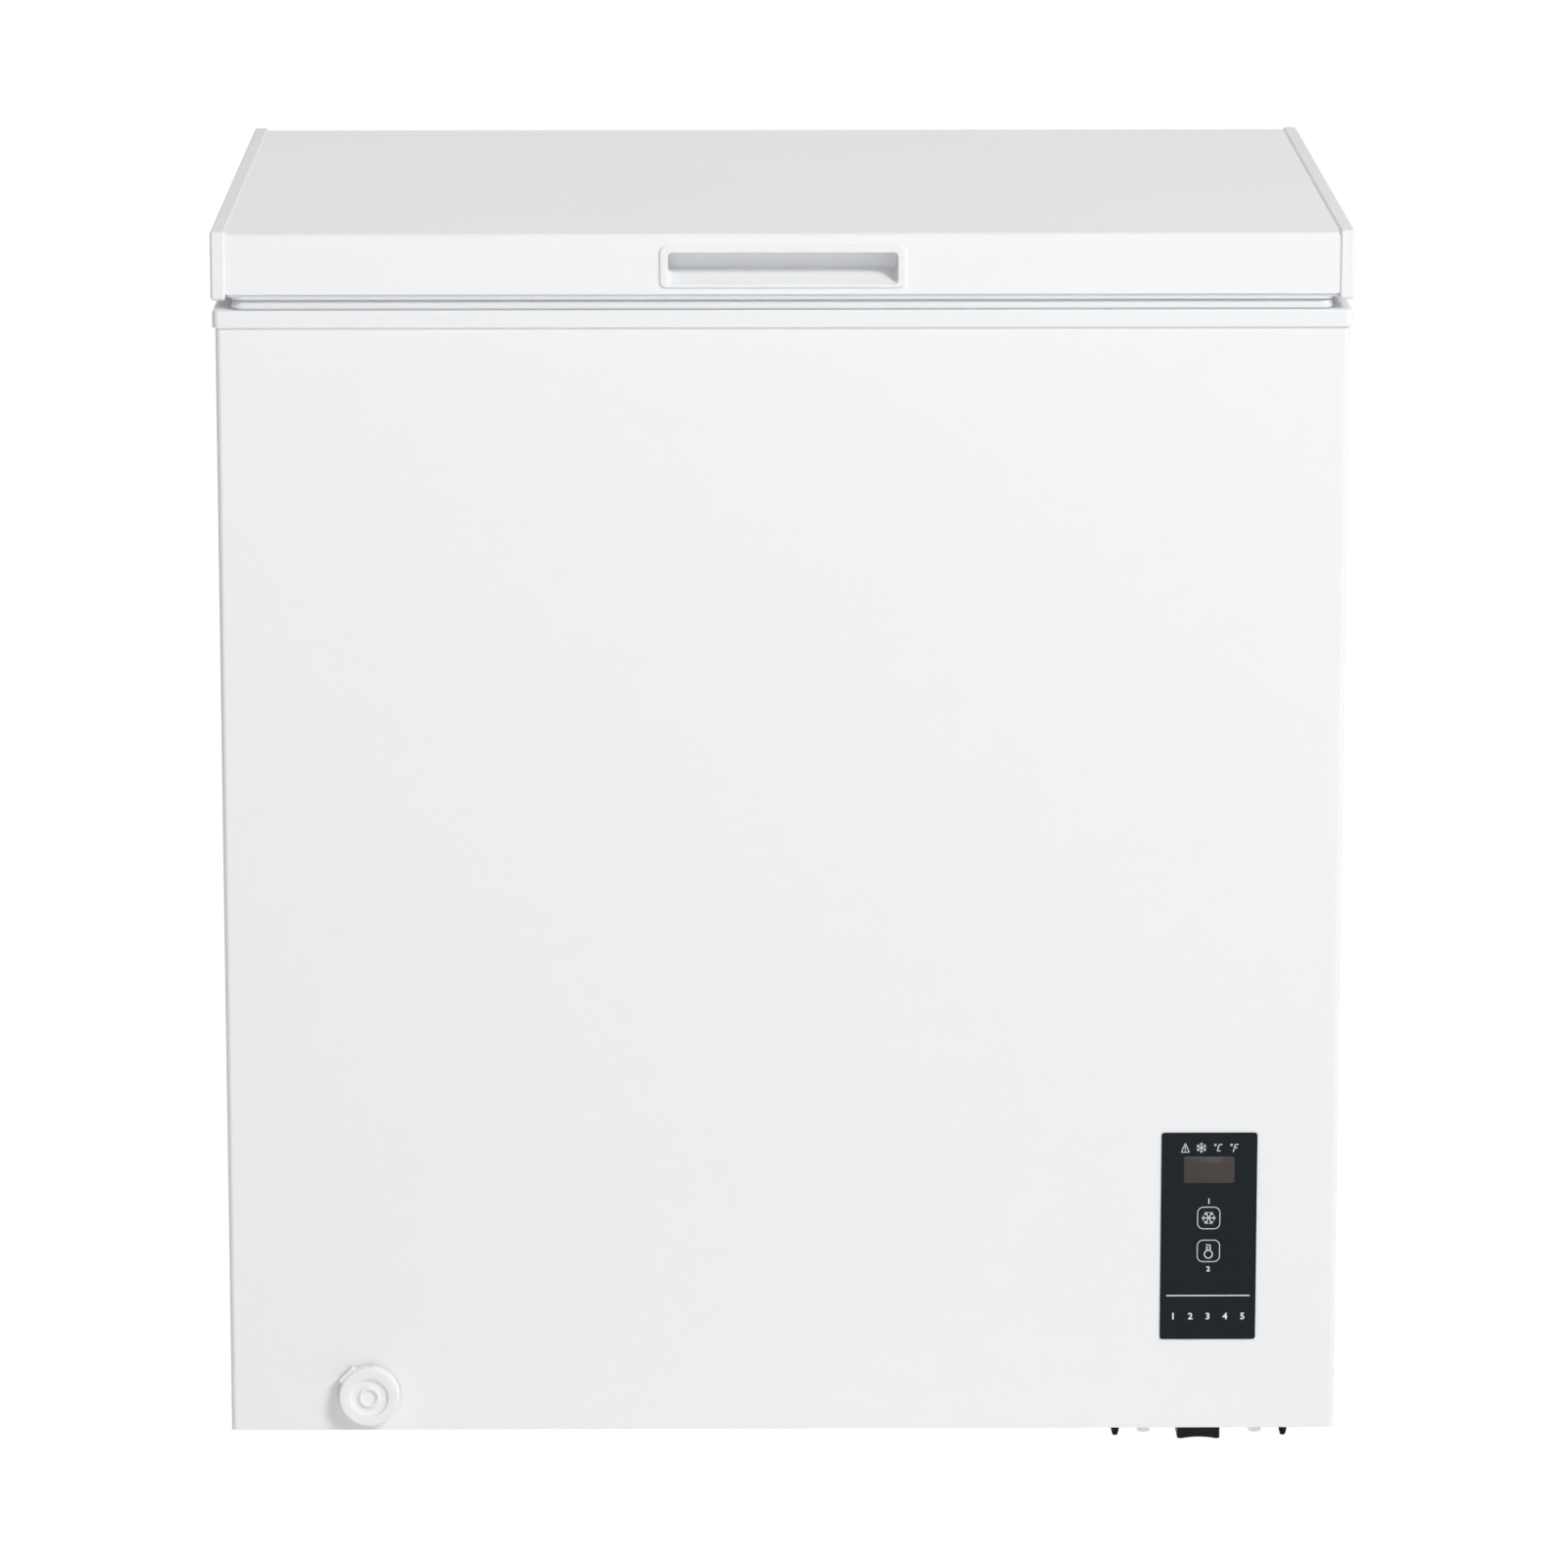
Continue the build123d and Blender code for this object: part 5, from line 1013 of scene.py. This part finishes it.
class FREEZER_OT_basket(bpy.types.Operator):
    """Hanging basket of welded, smoothly bent wires"""
    bl_idname, bl_label = "freezer.basket", "Basket"
    RIM_CORNER, BELT_CORNER, LOOP_BEND = 26 * MM, 25 * MM, 5.5 * MM
    LENGTHWISE, CROSSWISE = 25 * MM, 48 * MM
    BELTS = (1 / 3, 2 / 3)

    def execute(self, context):
        wires = context.scene.freezer_wires
        rim_r, thin_r = wires.rim, wires.thin
        x = (low("basket_frame", "x") + rim_r, high("basket_frame", "x") - rim_r)
        rim = low("basket_frame", "z") + rim_r
        y = (low("basket_wires", "y") + 2 * thin_r - rim_r, high("basket_wires", "y") - 2 * thin_r + rim_r)
        floor, top = low("basket_wires", "z") + thin_r, high("basket_wires", "z")
        shape = bmesh.new()
        drawn(shape, [Vector((u, v, rim)) for u, v in round_loop(x, y, self.RIM_CORNER)], rim_r, True, 16)
        left, right = sum(x) / 2 - wires.loop / 2, sum(x) / 2 + wires.loop / 2
        foot, peak = rim + rim_r * 0.4, high("basket_frame", "z") - rim_r
        ends = low("basket_frame", "y") + rim_r, high("basket_frame", "y") - rim_r
        for edge, far in zip(y, ends):
            points = [(left, edge, foot), (left, edge, peak), (left, far, peak),
                      (right, far, peak), (right, edge, peak), (right, edge, foot)]
            drawn(shape, bent(points, self.LOOP_BEND), rim_r, False, 16)
        settle("basket_rim", skinned("basket_rim", shape), "wire", "basket", "basket_frame")

        inside = rim_r + thin_r
        rows = []
        for along, pitch, base in ((1, self.LENGTHWISE, floor), (0, self.CROSSWISE, floor + 2 * thin_r)):
            over, across = (y, x) if along else (x, y)
            count = round((across[1] - across[0]) / pitch)
            gap = (across[1] - across[0]) / count
            axis = Vector((0, 1, 0)) if along else Vector((1, 0, 0))
            sideways = Vector((1, 0, 0)) if along else Vector((0, 1, 0))
            near_end, far_end = over[0] + inside, over[1] - inside
            line = bent([axis * end + Vector((0, 0, z)) for end, z in (
                (near_end, top), (near_end, base), (far_end, base), (far_end, top))], wires.bend)
            wire = bmesh.new()
            drawn(wire, [spot + sideways * (across[0] + gap) for spot in line], thin_r)
            rows.append(repeated(skinned("wire", wire), count - 1, tuple(sideways * gap), "wire"))
        belts, x, y = bmesh.new(), (x[0] + 1 * MM, x[1] - 1 * MM), (y[0] + 1 * MM, y[1] - 1 * MM)
        for part in self.BELTS:
            z = rim + (floor - rim) * part
            drawn(belts, [Vector((u, v, z)) for u, v in round_loop(x, y, self.BELT_CORNER)], thin_r, True)
        mesh = joined("basket_mesh", *rows, skinned("belts", belts))
        settle("basket_mesh", mesh, "wire", "basket", "basket_wires")
        return {"FINISHED"}


class FREEZER_OT_hinges(bpy.types.Operator):
    """Hinge brackets, arms, pins and springs"""
    bl_idname, bl_label = "freezer.hinges", "Hinges"

    def execute(self, context):
        edges = context.scene.freezer_edges
        for side in ("left", "right"):
            dress(edges, (f"bracket_{side}", f"hinge_bracket_{side}", "zinc", "sheet"),
                  (f"arm_{side}", f"hinge_arm_{side}", "zinc", "sheet"))
        dress(edges, ("pins", "hinge_pins", "zinc", "small"), ("springs", "hinge_springs", "zinc"))
        return {"FINISHED"}


class FREEZER_OT_fasteners(bpy.types.Operator):
    """Cross-head screws and hexagon bolts"""
    bl_idname, bl_label = "freezer.fasteners", "Fasteners"
    SCREWS = (("bracket_fixings", "bracket_screws"), ("arm_fixings", "arm_screws"),
              ("cover_fixings", "grille_screws"))
    HEAD, SHANK, POINT = 2.4 * MM, 2.0 * MM, 2 * MM
    BOLT_HEAD, BOLT_SHANK, BOLT_TURN = 5.5 * MM, 3 * MM, 0.3

    def screw(self, fasteners, node):
        """A pan-head screw whose head faces backwards, with its seat at the origin."""
        lowest, highest = islands(node)[0]
        radius, long = (highest.x - lowest.x) / 2, highest.y - lowest.y - self.HEAD
        dome, rise = fasteners.dome, self.HEAD - fasteners.dome
        place = Matrix.Rotation(-math.pi / 2, 4, "X")
        shape = bmesh.new()
        shank = [(0, -long), (self.SHANK * 0.3, -long), (self.SHANK, -long + self.POINT), (self.SHANK, 0)]
        crown = [(radius, 0), (radius, rise * 0.8), (radius * 0.93, rise), (radius * 0.7, rise + dome * 0.6),
                 (radius * 0.35, rise + dome * 0.93), (0, self.HEAD)]
        turned(shape, shank + crown, place, 32)
        cutter = bmesh.new()
        long_half, half_wide, deep = radius * 0.52, fasteners.cross / 2, fasteners.recess
        for turn in (0, math.pi / 2):
            outline = [(-long_half, -half_wide), (long_half, -half_wide), (long_half, half_wide),
                       (-long_half, half_wide)]
            spot = Matrix.Rotation(turn, 4, "Z") @ Matrix.Translation((0, 0, self.HEAD - deep))
            prism(cutter, outline, place @ spot, deep * 2)
        return combined(skinned("screw", shape), "DIFFERENCE", skinned("cross", cutter), True), long

    def execute(self, context):
        for seed, (name, node) in enumerate(self.SCREWS):
            head, long = self.screw(context.scene.freezer_fasteners, node)
            spots = [((lo.x + hi.x) / 2, lo.y + long, (lo.z + hi.z) / 2) for lo, hi in islands(node)]
            settle(name, scattered(spots, head, (0, 1, 0), seed, "zinc"), "zinc", NODE_BODY[node], node)
        bolts = islands("plate_bolts")
        lowest, highest = bolts[0]
        flat, long = (highest.x - lowest.x) / 2, highest.z - lowest.z
        shape = bmesh.new()
        turned(shape, [(0, 0), (flat * 0.8, 0), (flat, 0.5 * MM), (flat, self.BOLT_HEAD)],
               Matrix.Rotation(self.BOLT_TURN, 4, "Z"), 6)
        hidden = self.BOLT_HEAD - 0.5 * MM
        turned(shape, [(0, hidden), (self.BOLT_SHANK, hidden), (self.BOLT_SHANK, long), (0, long)],
               Matrix.Identity(4), 24)
        spots = [((lo.x + hi.x) / 2, (lo.y + hi.y) / 2, lo.z) for lo, hi in bolts]
        made = scattered(spots, skinned("bolt", shape), (0, 0, 1), 7, "zinc")
        settle("base_bolts", made, "zinc", "cabinet", "plate_bolts")
        return {"FINISHED"}


class FREEZER_OT_rear(bpy.types.Operator):
    """Slotted cover of the compressor bay and the cord gland"""
    bl_idname, bl_label = "freezer.rear", "Rear cover"

    def execute(self, context):
        dress(context.scene.freezer_edges, ("bay_cover", "rear_grille", "enamel", "small"),
              ("cord_bush", "cord_gland", "black", "small"))
        return {"FINISHED"}


def on_islands(name, node, profile, bore, steps, closed):
    """A piece turned afresh round each solid of a node, from parts of its radius and height."""
    shape = bmesh.new()
    for lowest, highest in islands(node):
        radius, tall = (highest.x - lowest.x) / 2, highest.z - lowest.z
        place = Matrix.Translation(((lowest.x + highest.x) / 2, (lowest.y + highest.y) / 2, lowest.z))
        rings = [(bore if part is None else radius * part, tall * up) for part, up in profile]
        turned(shape, rings, place, steps, closed)
    settle(name, skinned(name, shape), "rubber", "cabinet", node)


class FREEZER_OT_compressor(bpy.types.Operator):
    """Compressor, its legs and grommets, plate, pipes and drier"""
    bl_idname, bl_label = "freezer.compressor", "Compressor"
    # parts of a grommet's radius, where None is its bore, and of its height
    GROMMET = ((None, 0), (0.86, 0), (1, 0.06), (1, 0.22), (0.84, 0.3), (0.84, 0.38), (1, 0.46), (1, 0.64),
               (0.9, 0.68), (0.6, 0.68), (0.6, 0.96), (0.55, 1), (None, 1))

    def execute(self, context):
        dress(context.scene.freezer_edges, ("pot", "compressor_shell", "pot"),
              ("pot_legs", "compressor_legs", "pot", "small"),
              ("pot_relay", "relay_cover", "black", "moulding"),
              ("pot_studs", "compressor_bolts", "zinc", "small"),
              ("base_plate", "compressor_plate", "galvanised", "sheet"),
              ("hot_pipe", "discharge_tube", "copper"), ("cold_pipe", "suction_tube", "copper"),
              ("drier", "filter_drier", "copper"))
        on_islands("pot_grommets", "compressor_grommets", self.GROMMET, 4.05 * MM, 40, True)
        return {"FINISHED"}


class FREEZER_OT_feet(bpy.types.Operator):
    """Feet, skids and rubber buffers"""
    bl_idname, bl_label = "freezer.feet", "Feet"
    # parts of a buffer's radius and height
    BUFFER = ((0, 0), (0.4, 0), (0.62, 0.05), (0.8, 0.3), (0.97, 0.6), (1, 0.75), (1, 1), (0, 1))

    def execute(self, context):
        for place in ("front", "rear"):
            dress(context.scene.freezer_edges, (f"skid_shoe_{place}", f"skid_{place}", "black", "small"),
                  (f"foot_pad_{place}", f"foot_{place}_left", "black"))
        on_islands("base_buffers", "plate_buffers", self.BUFFER, 0.0, 32, False)
        return {"FINISHED"}


# ---- stage ----
class FREEZER_OT_studio(bpy.types.Operator):
    """Pale floor, white surroundings, soft lights and the camera"""
    bl_idname, bl_label = "freezer.studio", "Studio"
    AIM = (0, 0, 0.42)
    # each light's place, its width, and whether reflections show it
    LAMPS = {"key": ((3.7, -4.5, 4.6), 2.0, False), "front": ((-0.6, -5.8, 0.75), 2.4, True),
             "back": ((-2.4, 4.7, 1.5), 2.2, False)}
    # strengths of the white that a camera or a reflection sees, and how much of it the floor takes
    SKY, GLOW, GLOW_PART = 1.04, 1.03, 0.97
    FLOOR_RADIUS, FLOOR_THICK = 40, 0.02
    # camera: place along X in metres, downward tilt and turn in degrees, and vertical shift
    CAMERA_X, TILT, TURN, SHIFT = -0.049, 11.85, -0.556, -0.04

    def seen(self, tree):
        """One where a ray comes from the camera, a reflection or through glass."""
        path = tree.nodes.new("ShaderNodeLightPath")
        total = path.outputs["Is Camera Ray"]
        for name in ("Is Glossy Ray", "Is Transmission Ray"):
            add = tree.nodes.new("ShaderNodeMath")
            add.operation, add.use_clamp = "ADD", True
            tree.links.new(total, add.inputs[0])
            tree.links.new(path.outputs[name], add.inputs[1])
            total = add.outputs[0]
        return total

    def surroundings(self, ambient):
        """White where it is seen, and a soft plain light elsewhere."""
        world = bpy.data.worlds.new("surroundings")
        bpy.context.scene.world = world
        world.use_nodes = True
        tree = world.node_tree
        plain = tree.nodes["Background"]
        plain.inputs["Color"].default_value = (1.0, 1.0, 1.0, 1.0)
        strength = tree.nodes.new("ShaderNodeMix")
        tree.links.new(self.seen(tree), strength.inputs[0])
        strength.inputs[2].default_value = ambient
        strength.inputs[3].default_value = self.SKY
        tree.links.new(strength.outputs[0], plain.inputs["Strength"])

    def floor(self):
        """Wide pale disc that keeps a soft shadow."""
        shape, wide, thick = bmesh.new(), self.FLOOR_RADIUS, self.FLOOR_THICK
        place = Matrix.Translation((0, 0, -0.1 * MM))
        turned(shape, [(0, -thick), (wide, -thick), (wide, 0), (0, 0)], place, 96)
        floor = linked("floor", skinned("floor", shape))
        material = bpy.data.materials.new("pale_floor")
        material.use_nodes = True
        tree = material.node_tree
        paint = tree.nodes["Principled BSDF"]
        values = {"Base Color": (0.9, 0.9, 0.9, 1), "Roughness": 0.9, "Specular IOR Level": 0.1}
        for name, value in values.items():
            paint.inputs[name].default_value = value
        glow, mix, part = (tree.nodes.new(f"ShaderNode{kind}") for kind in ("Emission", "MixShader", "Math"))
        glow.inputs["Strength"].default_value = self.GLOW
        part.operation = "MULTIPLY"
        part.inputs[1].default_value = self.GLOW_PART
        surface = tree.nodes["Material Output"].inputs["Surface"]
        for source, target in ((self.seen(tree), part.inputs[0]), (part.outputs[0], mix.inputs[0]),
                               (paint.outputs[0], mix.inputs[1]), (glow.outputs[0], mix.inputs[2]),
                               (mix.outputs[0], surface)):
            tree.links.new(source, target)
        floor.data.materials.append(material)

    def lamp(self, name, power, place, wide, shines):
        """A soft square light that the camera doesn't see."""
        data = bpy.data.lights.new(name, "AREA")
        data.shape, data.size, data.energy = "SQUARE", wide, power
        lamp = linked(name, data)
        lamp.location = place
        lamp.rotation_euler = (Vector(self.AIM) - Vector(place)).to_track_quat("-Z", "Y").to_euler()
        lamp.visible_camera, lamp.visible_glossy = False, shines

    def execute(self, context):
        studio = context.scene.freezer_studio
        self.surroundings(studio.ambient)
        self.floor()
        for name, settings in self.LAMPS.items():
            self.lamp(f"{name}_light", getattr(studio, name), *settings)
        data = bpy.data.cameras.new("camera")
        data.sensor_width, data.lens, data.shift_y = 36.0, studio.lens, self.SHIFT
        camera = linked("camera", data)
        camera.location = (self.CAMERA_X, -studio.distance, studio.eye)
        camera.rotation_euler = (math.radians(90 - self.TILT), 0, math.radians(self.TURN))
        context.scene.camera = camera
        context.scene.view_settings.view_transform = "Standard"
        return {"FINISHED"}


class FREEZER_PT_panel(bpy.types.Panel):
    """Sizes, colours and steps of the freezer"""
    bl_idname, bl_label = "FREEZER_PT_panel", "Chest freezer"
    bl_space_type, bl_region_type, bl_category = "VIEW_3D", "UI", "Freezer"

    def draw(self, context):
        for step in STEPS:
            self.layout.operator(step.bl_idname)
        for key, group in GROUPS.items():
            box = self.layout.box()
            box.label(text=group.__doc__)
            for name in group.__annotations__:
                box.prop(getattr(context.scene, key), name)


STEPS = (FREEZER_OT_steelwork, FREEZER_OT_well, FREEZER_OT_lid, FREEZER_OT_seal, FREEZER_OT_handle,
         FREEZER_OT_panel, FREEZER_OT_drain, FREEZER_OT_basket, FREEZER_OT_hinges, FREEZER_OT_fasteners,
         FREEZER_OT_rear, FREEZER_OT_compressor, FREEZER_OT_feet, FREEZER_OT_studio)
CLASSES = (*GROUPS.values(), *STEPS, FREEZER_PT_panel)


def register():
    for each in CLASSES:
        bpy.utils.register_class(each)
    for key, group in GROUPS.items():
        setattr(bpy.types.Scene, key, bpy.props.PointerProperty(type=group))


def unregister():
    for key in GROUPS:
        delattr(bpy.types.Scene, key)
    for each in reversed(CLASSES):
        bpy.utils.unregister_class(each)


def main():
    register()
    FINISH.update(build_finishes())
    for step in STEPS:
        getattr(bpy.ops.freezer, step.bl_idname.split(".")[1])()


if __name__ == "__main__":
    main()
